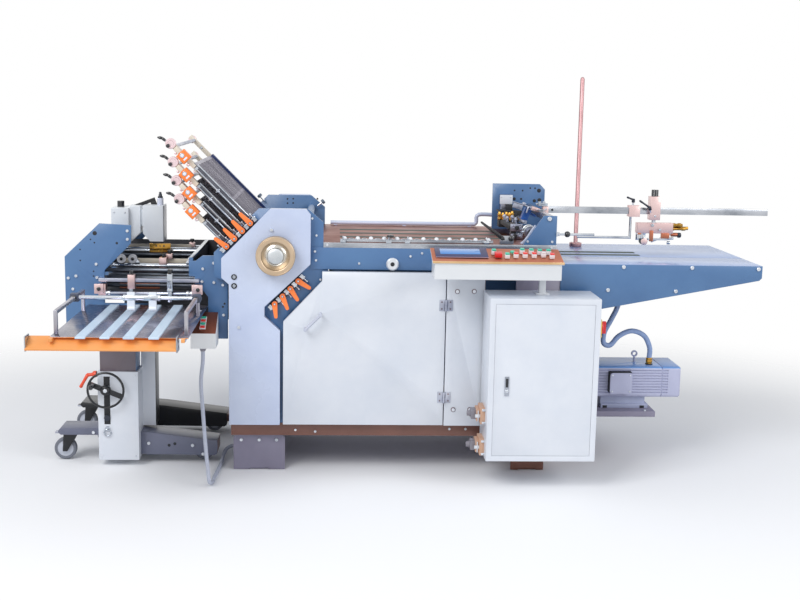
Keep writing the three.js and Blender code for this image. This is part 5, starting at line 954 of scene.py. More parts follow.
# Pale pinkish aluminium: warm and softly bright, as the anodised blocks all over the machine
pink_metal = bare_metal("pale_pink_anodised", "e6ccca", "cfb0ae", 1.6, roughness=0.34)
finish_piece(arm_block, "separator_arm", "machine", "pink_aluminium", pink_metal, 1.2)
black_lever = bmesh.new()
foot, tip = Vector((906, 0, 903)), Vector((824, 0, 963))
ahead = (tip - foot).normalized()
off = Vector((-ahead.z, 0, ahead.x))
flat_bar(black_lever, [foot - off * 8, tip - off * 4, tip + ahead * 4, tip + off * 4, foot + off * 8,
                       foot - ahead * 9], -337, -331)
rod(black_lever, (906, -339, 903), (906, -318, 903), 6.5, 20)
turned(black_lever, (938, -341, 903), rear, [(0, 0), (0.6, 5), (3, 9), (7, 11), (12, 10), (16, 6),
       (22, 5)], 20)
finish_piece(black_lever, "infeed_clamp_lever", "machine", "black_paint", black_phenolic, 0.8)
finish_piece(brick(bmesh.new(), 896, 948, -330.5, -318.5, 880.2, 912), "infeed_clamp_bracket", "machine",
             "bright_steel", ground_bar, 1.0)
side_stay = bmesh.new()
rod(side_stay, (1106, -331, 922), (1251, -331, 922), 4.4, 18, 1.0)
turned(side_stay, (1107.5, -331, 922), (1, 0, 0), [(-1, 9), (6, 9), (7.5, 7.6), (12, 7.6), (12.5, 6)], 6)
finish_piece(side_stay, "side_stop_rod", "machine", "bright_steel", chrome)
finish_piece(turned(bmesh.new(), (1149, -342.5, 922), rear,
                    [(11.5 - 11.5 * cos(pi * k / 12), 11.5 * sin(pi * k / 12)) for k in range(13)], 24),
             "side_stop_ball", "machine", "black_paint", black_phenolic, smooth=70)

# Sheet guard of the feeder's front plate: a narrow strip of painted steel bent along its sloped edge.
# It keeps the sheets' corners off the plate.
guard_strip = bmesh.new()
guard_path = [Vector((x, -314, z)) for x, z in ((979, 881.4), (990, 890), (1004, 908), (1022, 937),
              (1032, 950))]
for a, b in zip(guard_path, guard_path[1:]):
    along = (b - a).normalized()
    side = Vector((-along.z, 0, along.x)) * 3.4
    flat_bar(guard_strip, [a - along * 0.6 - side, b + along * 0.6 - side, b + along * 0.6 + side,
                           a - along * 0.6 + side], -4, 14)
finish_piece(guard_strip, "feeder_sheet_guard", "machine", "panel_white", pale_enamel, 0.4)

# Suction wheel: a turned and plated steel drum with a rim on each side, bored holes for the vacuum
# and a screw cap. It turns freely on the shaft between the feeder plates.
suction_x, suction_z, bored_at = 1040, 908, 24
wheel_shape = bmesh.new()
turned(wheel_shape, (suction_x, -142, suction_z), rear, [(0, 10.4), (0, 22), (1, 25), (3.6, 26), (6, 26),
       (7.4, 24), (36.6, 24), (38, 26), (41, 26), (43, 25), (44, 22), (44, 10.4), (0, 10.4)], 48)
suction_piece = finish_piece(wheel_shape, "suction_wheel_drum", "suction_wheel", "bright_steel", satin_cap,
                             smooth=30)
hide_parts("suction_wheel")
# Painted shade: shallow near-black sockets stand in for the shade inside the drum's bored holes
bored_ways = [(cos(k * pi / 6), 0, sin(k * pi / 6)) for k in range(12)]
bored_spots = [(suction_x + bored_at * x, y, suction_z + bored_at * z) for x, _, z in bored_ways
               for y in (-130, -120, -110)]
screws("suction_wheel_holes", "suction_wheel", bored_spots, [way for way in bored_ways for _ in range(3)],
       2.2, 0.5, black_and_painted_shade, slot="dark_steel", socket=0.7, sides=10)
wheel_cap = bmesh.new()
turned(wheel_cap, (suction_x, -142.2, suction_z), front, [(-1, 23), (0.8, 23), (1.4, 22.4), (1.4, 18),
       (0.4, 17.4), (0.4, 15), (1.6, 14.6), (1.6, 10.6), (-1, 10.4), (-1, 23)], 48)
finish_piece(wheel_cap, "suction_wheel_cap", "suction_wheel", "bright_steel", hinge_plate, smooth=26)

# Feed table: one folded steel box, tapering to a nose at the loading end. It is steel blue at the sides,
# and glossier on top, where the sheets slide; the top's paler blue-grey is a painted reflection of the
# white studio. An air manifold lies below.
# Paler blue-grey on the upward faces: a painted reflection of the white studio on the glossy top
table_top = stoved_enamel("pale_table_enamel", "93abd8", "839dcb", 2.4, 0.2)
dress("feed_table", steel_blue, 1.6, parts=((table_top, lambda c, n: n.z > 0.8 and c.z > 806),
                                            (hood_grey, within(1371, 1413, -222, -178, 699, 790))))
screws("feed_table_bolts", "machine", *both_sides(333, (1368, 801), (1630, 801), (1886, 799), (1312, 713),
       (1572, 711)), 7.4, 5, zinc)
tapes = bmesh.new()
brick(tapes, 1140, 1500, -62, -24, 810.05, 811.1)
row_of("feed_tapes", "machine", "grey_rubber", tapes, 2, (0, 86, 0), belt_fabric)

# Gauge bar: a ground flat steel bar along the feed table, held in a pink aluminium clamp block. A
# second block on it carries a bent rod that steadies the back of the pile, locked by a lever.
dress("gauge_bar", ground_bar, 0.8, parts=((pink_metal, within(1097.9, 1118.4, -86, -44, 961, 1005)),
                                           (pink_metal, within(1440.5, 1485.5, -83, -47, 967, 1013)),
                                           (chrome, within(1230, 1462, -72, -58, 870, 967))))
screws("gauge_clamp_screws", "machine", [(1108, -85, 973), (1108, -85, 993)], front, 4.2, 3.4, zinc)
# Painted shade: a thin near-black disc stands in for the shade inside the bar's hole
finish_piece(turned(bmesh.new(), (1136, -71, 990), front, [(-0.2, 5), (0.2, 5), (0.4, 4.4)], 16),
             "gauge_bar_hole", "machine", "dark_steel", black_and_painted_shade)
# Black clamp lever: a slim tapered handle of black nylon on a plated stud
lever_black = moulded("black_nylon_lever", "1d2738", "151d2b", 5.0, 0.36, 0.08, 0.2)


def clamp_handle(name, body, foot, elbow, tip, radius=4.6):
    stud, handle = bmesh.new(), bmesh.new()
    rod(stud, foot, Vector(foot) * 0.3 + Vector(elbow) * 0.7, radius * 0.8, 14)
    stem, reach = Vector(elbow) - Vector(foot), Vector(tip) - Vector(elbow)
    turned(handle, Vector(foot) * 0.45 + Vector(elbow) * 0.55, stem,
           [(0, radius * 1.2), (2, radius * 1.5), (stem.length * 0.45 + 3, radius * 1.3),
            (stem.length * 0.45 + 5, radius * 0.6)], 18)
    turned(handle, elbow, reach, [(-2, radius * 0.7), (0, radius), (reach.length * 0.6, radius * 0.74),
                                  (reach.length * 0.85, radius * 0.95), (reach.length, radius * 0.8),
                                  (reach.length + 2, radius * 0.3)], 14)
    finish_piece(stud, name + "_stud", body, "bright_steel", zinc)
    finish_piece(handle, name + "_handle", body, "black_paint", lever_black, smooth=50)


clamp_handle("rod_clamp", "machine", (1459, -65, 1010), (1460, -65, 1034), (1434, -68, 1044))

# Gauge carriage: a slide of pink anodised aluminium with a screw-set foot block. It carries a small
# rubber wheel on a leg, brass air fittings and plated adjusting screws.
dress("gauge_carriage", pink_metal, 0.9,
      parts=((black_phenolic, within(1525, 1565, -85, -45, 1049.5, 1076)),
             (chrome, within(1536, 1554, -74, -56, 944.5, 955.5)),
             (brass, within(1621.5, 1690, -80, -50, 915, 932)),
             (chrome, within(1498, 1516, -80, -50, 869, 902.6)),
             (belt_fabric, within(1491, 1523, -80, -50, 850, 886))))
clamp_handle("carriage_clamp", "gauge_carriage", (1528, -80, 986), (1520, -92, 1006), (1478, -94, 1033))
carriage_chrome, carriage_brass, carriage_pink, carriage_blue = (bmesh.new() for _ in range(4))
turned(carriage_brass, (1618, -74, 936), (1, 0, 0), [(0, 9), (12, 9), (13, 7), (22, 7), (23, 9.4),
       (34, 9.4), (36, 7), (42, 6.4)], 6)
turned(carriage_brass, (1618, -70, 921), (1, 0, 0), [(0, 7), (10, 7), (11, 5.5), (40, 5.5), (41, 7.4),
       (52, 7), (62, 2.6)], 14)
for bar in (((1566, -80, 918), (1566, -92, 918), 5.5, 16), ((1536, -80, 936), (1536, -90, 936), 6.5, 16),
            ((1545, -83, 972), (1545, -88, 972), 5, 6)):
    rod(carriage_chrome, *bar)
for x0, z0, x1, z1, radius in ((1590, 880, 1626, 884, 4.6), (1481, 876, 1481, 904, 8),
                               (1497, 880, 1497, 904, 5), (1536, 868, 1612, 900, 2.6),
                               (1600, 866, 1612, 866, 7)):
    rod(carriage_chrome, (x0, -76, z0), (x1, -76, z1), radius, 16)
brick(carriage_chrome, 1520, 1600, -82, -72, 876, 884)
for box in ((1527, 1541, -88, -76, 872, 914), (1574, 1606, -88, -74, 884, 904),
            (1478, 1492, -86, -70, 898, 904)):
    brick(carriage_pink, *box)
rod(carriage_pink, (1616, -70, 898), (1642, -70, 898), 8, 18)
turned(carriage_blue, (1642, -70, 896), (1, 0, 0), [(0, 6), (2, 10), (10, 10.4), (14, 9), (16, 4)], 18)
finish_piece(carriage_chrome, "carriage_adjusters", "gauge_carriage", "bright_steel", chrome, 0.4)
finish_piece(carriage_brass, "carriage_air_fittings", "gauge_carriage", "gold_wheel", brass, 0.3)
# Copper-red blocks: the anodising is stronger on the small clamps
copper_block = bare_metal("copper_red_anodised", "c98467", "a4604a", 1.6, roughness=0.34)
finish_piece(carriage_pink, "carriage_clamp_blocks", "gauge_carriage", "pink_aluminium", copper_block, 0.8)
finish_piece(carriage_blue, "carriage_adjusting_knob", "gauge_carriage", "black_paint", lever_black, 0.4)

# Stack rod: a drawn steel rod with a rounded tip and a warm pinkish cast, standing in a turned
# flange at the back of the feed table. It steadies the far edge of the pile.
rod_steel = bare_metal("warm_drawn_steel_rod", "c09a9c", "a98486", 9.0, (1.0, 1.0, 0.02), 0.4, 0.06)
dress("stack_rod", rod_steel, 0.8)
screws("stack_rod_flange_screws", "machine",
       [(1297 + 18 * cos(a), 235 + 18 * sin(a), 826.3) for a in (0.5, 2.6, 4.7)], up, 3, 2, zinc, sides=12)

# Vacuum pump: a boxy finned casing cast in aluminium under blue-grey enamel, with a plain end cover,
# a moulded terminal box, a lifting eye, a brass port and two folded steel rails.
pump_paint = stoved_enamel("steel_blue_pump_enamel", "79a2dc", "6b93cc", 2.0, 0.3)
pump_side = stoved_enamel("lilac_grey_pump_enamel", "b9bcd6", "a8abc7", 2.0, 0.36)
rail_steel = stoved_enamel("pale_grey_rail_enamel", "b4bbd6", "9ea6c4", 2.0, 0.34)
dress("vacuum_pump", pump_side, 1.4, 3, parts=(
    (rail_steel, within(z1=266)), (brass, within(1518, 1542, -177, -153, 392, 419)),
    (pump_paint, lambda c, n: n.z > 0.4 and c.z > 380)))
pump_dark = bmesh.new()
for x in (1352, 1500):
    brick(pump_dark, x - 9, x + 9, -206, -192, 222.3, 232)
turned(pump_dark, (1530, -165, 390.2), up, [(0, 15), (3, 15), (4, 13.5)], 6)
brick(pump_dark, 1357.4, 1360.6, -238, -214, 292, 372)
brick(pump_dark, 1362, 1446, -238, -214, 370.6, 373.4)
finish_piece(pump_dark, "pump_rubber_feet", "machine", "grey_rubber", black_and_painted_shade, 0.8)
screws("terminal_box_screws", "machine", [(x, -240, z) for x in (1370, 1439) for z in (296.4, 361)], front,
       3.2, 2, zinc, sides=12)
ferrule = bmesh.new()
turned(ferrule, (1530, -165, 396), up, [(0, 11.8), (2, 13), (10, 13), (12, 11.8), (14, 11.8), (15, 12.6),
                                        (19, 12.6), (20, 11.6)], 6)
finish_piece(ferrule, "pump_port_ferrule", "machine", "gold_wheel", brass, 0.3)


# Delivery stand: two folded steel legs joined by beams, with a dock bar to the machine. The front
# leg is blue-grey enamel, the rear leg and the beams are black, with bolts through the caster ends.
leg_enamel = stoved_enamel("blue_grey_leg_enamel", "686c80", "595d70", roughness=0.34)
# Black enamel: near-black with a bluish gloss at its edges
black_enamel = stoved_enamel("black_gloss_enamel", "0b0d12", "11141b", roughness=0.32)
dress("stand_base", leg_enamel, 1.2, parts=(
    (black_enamel, lambda c, n: c.y > -119.5 and c.x < -166.5 or c.y > 216 and c.x < -166.5),
    (rail_enamel, lambda c, n: c.x > -168.2)))
screws("leg_bolts", "machine", [(-222, -230, 36), (-262, -230, 70), (-640, -230, 120), (-430, -230, 78)],
       front, 6.4, 5, zinc)
# Painted shade: thin near-black discs stand in for the shade inside the front leg's holes
leg_holes = bmesh.new()
for x, z in ((-330, 76), (-352, 70)):
    turned(leg_holes, (x, -230, z), front, [(-0.2, 6), (0.2, 6), (0.5, 5.4)], 18)
finish_piece(leg_holes, "front_leg_holes", "machine", "dark_steel", black_and_painted_shade)
dock_clamp = bmesh.new()
for y in (222, 258):
    turned(dock_clamp, (-112, y, 75), up, [(0, 8), (4, 8), (5, 5), (14, 5), (15, 9), (22, 9), (23, 7)], 6)
finish_piece(dock_clamp, "dock_bar_bolts", "machine", "bright_steel", zinc)

# Lift column: a square box section in white enamel with a slot for the lift stud, whose faces and a thin
# sheet across it are near-black as painted shade inside the slot, a ring bolt at its foot, and a rear post
# that guides the head.
dress("stand_column", white_coat, 1.6, 3, parts=(
    (black_and_painted_shade, within(-586.4, -568.6, -274.6, -266, 167, 349)),
    (lever_black, within(-641, -611.5, -230, -200, 335, 359)),
    (black_enamel, lambda c, n: c.x > -459.6 and c.y > -154.9)))
# Painted shade: a thin near-black sheet across the slot stands in for the shade inside it
finish_piece(brick(bmesh.new(), -589, -566, -275.6, -274.9, 165, 351), "column_slot_lining", "machine",
             "dark_steel", black_and_painted_shade, 0.2)
slot_x = -577.5
ring_bolt = bmesh.new()
rod(ring_bolt, (slot_x, -274, 148), (slot_x, -280, 148), 10, 20)
around = [(slot_x + 13 * sin(2 * pi * k / 14), -281.5, 133 + 13 * cos(2 * pi * k / 14)) for k in range(14)]
for k in range(14):
    rod(ring_bolt, around[k], around[(k + 1) % 14], 2.6, 10, 0.2)
finish_piece(ring_bolt, "column_ring_bolt", "machine", "bright_steel", chrome)
screws("column_screws", "machine",
       [(x, -275, z) for x, z in ((-600, 356), (-472, 356), (-600, 40), (-472, 40))], front, 3.6, 2.6,
       zinc, sides=12)

# Lift handwheel: a thin cast rim in black enamel with one spoke bar and a revolving phenolic grip.
# It turns the lift screw behind the column's slot.
lift_axis = Vector((slot_x, -301, 304))
lift_turn = Matrix.Translation(lift_axis) @ Matrix.Rotation(radians(22), 4, "Y")
lift_wheel = bmesh.new()
turned(lift_wheel, lift_axis + Vector((0, 5, 0)), front, [(0, 63.4), (1.5, 67.4), (2.6, 70), (5, 71.8),
       (7.5, 70), (9, 67.4), (9.6, 64.8), (8, 63), (2, 62.8), (0, 63.4)], 64)
turned(lift_wheel, lift_axis + Vector((0, 11, 0)), front, [(0, 17), (2, 20), (15, 20), (20, 16),
       (21.5, 14), (21.5, 0)], 36)
brick(lift_wheel, -65, 65, -4.5, 4.5, -9.5, 9.5, lift_turn)
wheel_piece = finish_piece(lift_wheel, "lift_handwheel_rim", "stand_handwheel", "black_paint",
                           black_enamel, 1.0, smooth=32)
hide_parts("stand_handwheel")
lift_grip, lift_nut = bmesh.new(), bmesh.new()
turned(lift_grip, lift_turn @ Vector((-52, -5, 0)), front, [(0, 6), (2, 9), (14, 9.8), (26, 8.6),
       (34, 9.8), (38.6, 7), (38.9, 0)], 24)
turned(lift_nut, lift_axis + Vector((0, -10.4, 0)), front, [(0, 8), (1.2, 8), (1.7, 7), (1.7, 0)], 6)
finish_piece(lift_grip, "lift_handwheel_grip", "stand_handwheel", "black_paint", black_phenolic, smooth=50)
finish_piece(lift_nut, "lift_handwheel_nut", "stand_handwheel", "bright_steel", zinc)

# Column clamp lever: an orange-red nylon lever with a turned hub, which locks the head's height.
# It sits on a threaded pin at the column's left.
lever_red = moulded("orange_red_nylon", "f2542c", "e04521", 6.0, 0.34, 0.05, 0.3)
clamp_shape = bmesh.new()
turned(clamp_shape, (-626.6, -215, 347), (-1, 0, 0), [(0, 12.4), (3, 12.8), (10, 12.4), (14, 9.6),
       (14.6, 0)], 26)
bends = [Vector(spot) for spot in ((-632, -215, 347), (-661, -215, 343), (-688, -215, 296))]
for a, b, thick, thin in ((bends[0], bends[1], 7.6, 6.6), (bends[1], bends[2], 6.8, 5.6)):
    long = (b - a).length
    turned(clamp_shape, a, b - a, [(-3, thick * 0.7), (-1, thick), (long * 0.6, thin), (long, thick),
                                   (long + 3, thin * 0.7)], 20)
clamp_piece = finish_piece(clamp_shape, "column_clamp_lever", "stand_clamp_lever", "orange_lever",
                           lever_red, smooth=50)
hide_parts("stand_clamp_lever")

# Casters: forks of pressed steel in black enamel with a silver brake pedal. Their wheels have a
# grey rubber tread moulded on a paler nylon centre, which turns on a steel axle.
for end in ("front", "rear"):
    dress(f"caster_fork_{end}", black_enamel, 0.8, parts=((hinge_plate, within(x1=-757)),))
tread_grey = moulded("grey_rubber_tread", "767a85", "656973", 3.0, 0.6, 0.15)
centre_grey = moulded("pale_nylon_centre", "c4c8d2", "b3b8c4", 5.0, 0.4)
for node, x, radius in (("front_left", -758, 43), ("rear_left", -758, 43), ("front_right", -222, 36),
                        ("rear_right", -222, 36)):
    node = "caster_wheel_" + node
    y = -175 if "front_" in node else 240
    tread, centre = bmesh.new(), bmesh.new()
    turned(tread, (x, y - 13, radius), rear, [(0.4, radius - 12), (0.4, radius - 4), (2.5, radius - 0.9),
                                              (6.5, radius - 0.05), (19.5, radius - 0.05),
                                              (23.5, radius - 0.9), (25.6, radius - 4),
                                              (25.6, radius - 12), (0.4, radius - 12)], 48)
    turned(centre, (x, y - 17, radius), rear, [(0.4, 6.6), (0.4, 15.6), (1.4, 16.6), (5, 16.6), (5.8, 18),
                                               (6.6, radius - 11.8), (27.4, radius - 11.8), (28.2, 18),
                                               (29, 16.6), (32.6, 16.6), (33.6, 15.6), (33.6, 6.6),
                                               (0.4, 6.6)], 40)
    whole = finish_piece(tread, node + "_tread", node, "grey_rubber", tread_grey, smooth=34)
    finish_piece(centre, node + "_centre", node, "white_nylon", centre_grey, smooth=34)
    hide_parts(node)


# Buckle plates: four folding grids of drawn steel bars over a dark sheet, which is painted shade that
# darkens the gaps between the bars, held at 45 degrees by the side plates. Each hangs on cream arms, with
# an orange counter housing and plated tie rods.
grid_dark = bare_metal("burnished_grid_steel", "74757e", "4f515a", 1.4, (1.0, 0.1, 1.0), 0.36)
grid_bar = bare_metal("drawn_grid_bars", "b4b1bb", "8b8894", 1.2, (1.0, 0.1, 1.0), 0.4)
# Dark sheet: under the grid bars it is painted shade that makes the gaps between the bars read dark
grid_shade = moulded("oiled_grid_sheet", "34353c", "2a2b32", 4.0, 0.5, 0.1)
cream_cast = stoved_enamel("cream_cast_arm", "e0d6c6", "d0c5b3", 2.0, 0.36)
counter_orange = moulded("orange_counter_housing", "ff8a3a", "f67a2b", 5.0, 0.34, 0.06, 0.25)
window_glass = moulded("milky_window", "eef1fb", "dfe4f5", 4.0, 0.14, 0.0, 0.7)
plate_pink = bare_metal("pale_pink_disc", "f0dcdf", "d9c0c4", 1.2, roughness=0.36)
# Dark blue enamel of the top plate's rear rail, deep and glossy
rail_blue = stoved_enamel("dark_blue_rail_enamel", "22366e", "1b2c5c", roughness=0.3)
heads_at = ((-317, 1234, 478, 238), (-309, 1168, 426, 188), (-298, 1101, 370, 204), (-288, 1034, 316, 196))
for number, (head_x, head_z, long, star_at) in enumerate(heads_at, 1):
    node, crank = f"buckle_plate_{number}", f"plate_crank_{number}"
    to_machine = Matrix.Translation((head_x, 0, head_z)) @ Matrix.Rotation(radians(45), 4, "Y")
    to_plate = to_machine.inverted()


    def zone(u0, u1, v0, v1, w0, w1):
        def picks(middle, normal):
            spot = to_plate @ middle
            return u0 < spot.x < u1 and v0 < spot.y < v1 and w0 < spot.z < w1
        return picks


    dress(node, grid_dark, 0.7, parts=((cream_cast, zone(-9.5, 119.5, -353.9, -305.3, -8.5, 8.5)),
                                       (hinge_plate, zone(7, 21, -306, 306, -7, 7)),
                                       (counter_orange, zone(45.5, 86.5, -354, -318.2, -19.5, 19.5)),
                                       (rail_blue if number == 1 else grid_dark,
                                        zone(60, long, 305.4, 318, -8.5, 8.5)),
                                       (grid_bar, zone(110, long - 10, -300, 300, -4.5, 4.5))))
    steel, orange, glass, pink, cream, shade, rib = (bmesh.new() for _ in range(7))
    # Painted shade: a dark sheet just under the bars, so that the gaps between them read dark
    brick(shade, 119.4, long - 14.6, -305.4, 305.4, -6.8, -3.9, to_machine)
    brick(rib, 119.4, long - 14.6, -303.2, -300.4, -4, 4.6, to_machine)
    row_of(node + "_ribs", "machine", "bright_steel", rib, 39, (0, 15.885, 0), grid_bar)
    for v, w in ((-321, -3), (-312, 11), (310, 11)):
        rod(steel, to_machine @ Vector((100 if w < 0 else 122, v, w)),
            to_machine @ Vector((long - 74, v, w)), 3.2, 14)
    for u in (126, long - 84):
        brick(steel, u - 5, u + 5, -324.5, -317.5, -7, 6, to_machine)
        brick(steel, u - 5, u + 5, -316, -306, 7.5, 13, to_machine)
    turned(steel, to_machine @ Vector((star_at - 7, -321, -3)), to_machine.to_3x3() @ Vector((1, 0, 0)),
           [(0, 4.4), (1, 5.6), (13, 5.6), (14, 4.4)], 16)
    for k in range(4):
        spoke = Vector((0, 10 * cos(k * pi / 4), 10 * sin(k * pi / 4)))
        middle = Vector((star_at, -321, -3))
        rod(steel, to_machine @ (middle - spoke), to_machine @ (middle + spoke), 2.1, 8, 0.3)
    for low, high in ((7.9, 8.5), (-8.5, -7.9)):
        brick(cream, -9.3, 105.8, -337.6, -305.8, low, high, to_machine)
        brick(cream, 21.2, 45.7, -353.6, -337.4, low, high, to_machine)
    brick(cream, 20.8, 45.6, -354.4, -353.4, -8.4, 8.4, to_machine)
    brick(cream, -9.8, 106, 304.9, 318.6, -8.8, 8.8, to_machine)
    brick(orange, 47, 85, -357.6, -353.4, -17.4, 17.4, to_machine)
    forward = to_machine.to_3x3() @ Vector((0, -1, 0))
    turned(steel, to_machine @ Vector((59, -357.3, 0)), forward, [(0, 8.8), (1.2, 8.8), (1.8, 8.2),
           (1.8, 6.3), (0.6, 6.1), (0, 8.8)], 24)
    turned(glass, to_machine @ Vector((59, -357.2, 0)), forward, [(0, 6.2), (1.0, 6.2), (1.4, 5.4),
           (1.6, 0)], 22)
    brick(glass, 72.5, 79, -358.2, -357.2, -8, 8, to_machine)
    for u, w in ((36, -13), (97, -11)):
        turned(pink, to_machine @ Vector((u, -330, w)), forward, [(-10, 4), (0, 4), (1, 5), (8, 5.6),
               (12, 5), (13, 3)], 16)
    turned(pink, to_machine @ Vector((5, 318.2, -4)), -forward,
           [(0, 14), (1.4, 16), (13, 16), (14.6, 14.4), (14.6, 5), (9, 5), (9, 0)], 32)
    turned(steel, to_machine @ Vector((56, 304.8, 0)), forward, [(-1, 5.4), (2.6, 5.4), (3.4, 4.6),
           (3.4, 2.6), (1, 2.4), (1, 0)], 20)
    for shape, name, *finish in (
            (steel, node + "_tie_rods", "bright_steel", chrome, 0.4),
            (shade, node + "_sheet", "dark_steel", grid_shade),
            (cream, node + "_arm_faces", "panel_white", cream_cast, 0.2),
            (orange, node + "_counter_face", "orange_lever", counter_orange, 1.6, 3),
            (glass, node + "_counter_windows", "white_nylon", window_glass, 0.3),
            (pink, node + "_rear_disc_and_knobs", "pink_aluminium", plate_pink, 0.5)):
        finish_piece(shape, name, "machine", *finish)

    # Setting crank of this plate: a turned pink anodised disc, a bright neck and a bent black
    # handle off its centre, with a black clamping knob on the face.
    disc, neck, handle = bmesh.new(), bmesh.new(), bmesh.new()
    head = Vector((head_x, -338.1, head_z))
    turned(disc, head, front, [(0, 6), (0, 18), (1.2, 19.4), (12.4, 19.4), (13.8, 18), (13.8, 12),
                               (12.6, 11), (12.6, 0)], 44)
    rod(neck, head + Vector((-8, -7, 3)), head + Vector((-22, -7, 12)), 4.2, 18, 1)
    path = [head + Vector(step) for step in ((-19, -7, 10), (-31, -7, 19), (-47.5, -7, 21.5))]
    for start, end, radii in ((path[0], path[1], (4.4, 5.6, 5.2)), (path[1], path[2], (5.2, 5.8, 3.4))):
        reach = end - start
        turned(handle, start - reach.normalized() * 2, reach, [(0, radii[0] * 0.7), (1.5, radii[0]),
               (reach.length * 0.6, radii[1]), (reach.length, radii[2]),
               (reach.length + 2.4, radii[2] * 0.6)], 18)
    turned(handle, head + Vector((-9, -12.2, -8)), front, [(0, 5), (1.4, 6.8), (9, 7.4), (12.4, 6.4),
           (13.6, 4), (13.6, 0)], 20)
    whole = finish_piece(disc, crank + "_disc", crank, "pink_aluminium", plate_pink, smooth=30)
    finish_piece(neck, crank + "_neck", crank, "bright_steel", chrome)
    finish_piece(handle, crank + "_handle", crank, "black_paint", black_phenolic, smooth=50)
    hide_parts(crank)

# Rear edge of the top plate: a dark-blue strip along the grid's far rail, folded from painted sheet
# and screwed to the plate's frame.
top_x, top_z = heads_at[0][:2]
far_side = Matrix.Translation((top_x, 0, top_z)) @ Matrix.Rotation(radians(45), 4, "Y")
blue_rail = bmesh.new()
brick(blue_rail, 106.2, 414, 318.2, 326, -7, 15, far_side)
brick(blue_rail, 106.2, 414, 306, 326, 8.4, 15, far_side)
finish_piece(blue_rail, "top_plate_rear_rail", "machine", "frame_blue", rail_blue, 0.8)

# Lower buckle plates: four closed steel plates inside the housing, burnished like the upper ones
# and seen only when the access door stands open.
dress("lower_buckle_plates", grid_dark, 0.8)


# Delivery head: two pairs of cut plates in steel-blue enamel on a sliding inner column. Ground tie
# bars, chromed rods, disc wheels and pink clamp blocks lie between the plates.
inner_grey = stoved_enamel("grey_inner_column", "6c6670", "66565a", roughness=0.26)
dress("knife_frame", steel_blue, 1.0, parts=((hinge_plate, within(-591, -221, -332.5, -300.2, 660, 745)),
      (pink_metal, lambda c, n: (-590.5 < c.x < -563.5 or -248.5 < c.x < -221.5) and c.y < -300.2
       and c.z < 713.3), (chrome, within(-600.3, -246.7, -287.9, 287.9, 741, 813)),
      (inner_grey, within(-604, -468, -268, -162, 179, 499)),
      (lever_black, within(-600, -560, -330, -272, 170, 330))))
screws("delivery_plate_bolts", "delivery_head", *both_sides(300, (-486, 909), (-486, 878), (-602, 784),
       (-677, 739), (-705, 731), (-600, 734), (-689, 690), (-170, 793), (-210, 771), (-154, 813),
       (-213, 723), (-169, 720), (-136, 711), (-134, 597)), 5.6, 4.6, zinc)
# Painted shade: thin near-black discs stand in for the shade inside the delivery plates' holes
drilled = bmesh.new()
for x, z, radius in ((-605, 899, 8), (-525, 863, 4.6), (-621, 876, 3), (-607, 864, 3), (-660, 838, 3),
                     (-660, 797, 3), (-612, 757, 3), (-612, 739, 3), (-130, 640, 4), (-136, 628, 4)):
    turned(drilled, (x, -300, z), front, [(-0.2, radius), (0.15, radius), (0.35, radius * 0.86)], 18)
finish_piece(drilled, "delivery_plate_holes", "delivery_head", "dark_steel", black_and_painted_shade)
cross_rollers, cream_channel, brass_bar, plated, pinks, black_knobs, disc_faces = (bmesh.new()
        for _ in range(7))
for y, z, radius in ((-190, 748, 8), (-60, 750, 9), (40, 752, 9), (80, 772, 7), (190, 756, 9),
                     (230, 784, 7)):
    rod(cross_rollers, (-588, y, z), (-256, y, z), radius, 20, 1)
for y, z in ((-150, 760), (95, 798)):
    rod(plated, (-588, y, z), (-256, y, z), 4.4, 16)
for box in ((-536, -292, -66, -54, 757, 776), (-536, -292, -66, -30, 754.2, 757.4),
            (-585, -300, 112, 118, 800, 812)):
    brick(cream_channel, *box)
brick(brass_bar, -447, -365, -26, -20, 796, 831)
brick(brass_bar, -447, -365, -26, 2, 806, 811)
for k in range(5):
    turned(black_knobs, (-436 + k * 15, -26, 821 if 0 < k < 4 else 806), front,
           [(-0.2, 2.6 + (k % 2)), (0.5, 2.6 + (k % 2)), (0.5, 0)], 14)
for x in (-560, -255):
    turned(plated, (x - 14, -320, 679), (1, 0, 0), [(0, 8), (1, 11), (11, 11), (12, 9), (16, 9), (17, 11),
           (27, 11), (28, 8)], 24)
for x, z in ((-543, 780), (-500, 780), (-272, 776)):
    turned(disc_faces, (x, -108.2, z), front, [(-6, 17.5), (1, 17.5), (1.6, 16.4), (1.6, 13.8),
                                               (0.2, 13.4), (0.2, 7), (2, 6.6), (2.4, 0)], 30)
    turned(black_knobs, (x, -110.4, z), front, [(0, 5.6), (1, 6.4), (3, 6.4), (4, 5), (4.2, 0)], 16)
for x0, x1, y0, y1, z0, z1 in ((-482, -456, -337, -305, 698, 750), (-398, -370, -116, -86, 742, 786),
                               (-312, -290, 136, 166, 786, 816), (-376, -352, -78, -52, 776, 796)):
    brick(pinks, x0, x1, y0, y1, z0, z1)
    turned(black_knobs, ((x0 + x1) / 2, (y0 + y1) / 2, z1 - 0.4), up, [(0, 4), (3, 4), (4, 8), (12, 9),
           (15, 8), (16, 4), (16, 0)], 18)
brick(plated, -338, -318, -335, -308, 690, 754)
turned(black_knobs, (-328, -322, 753), up, [(0, 5), (3, 5), (4, 9), (14, 10), (18, 8.6), (19, 0)], 18)
for x in (-328, -470):
    brick(plated, x - 7, x + 7, -336.5, -334, 650, 700)
for x in (-586, -224):
    brick(pinks, x - 17, x + 17, -345, -331.5, 680, 716)
    turned(black_knobs, (x, -344.8, 698), front, [(0, 6), (1, 7.6), (4, 7.6), (5, 6), (5.2, 0)], 18)
for y in (-250, -170, -90, -10, 70, 150, 230):
    rod(cross_rollers, (-596, y, 716), (-240, y, 716), 8, 20, 1)
    rod(cross_rollers, (-596, y + 30, 694), (-240, y + 30, 694), 6, 20, 1)
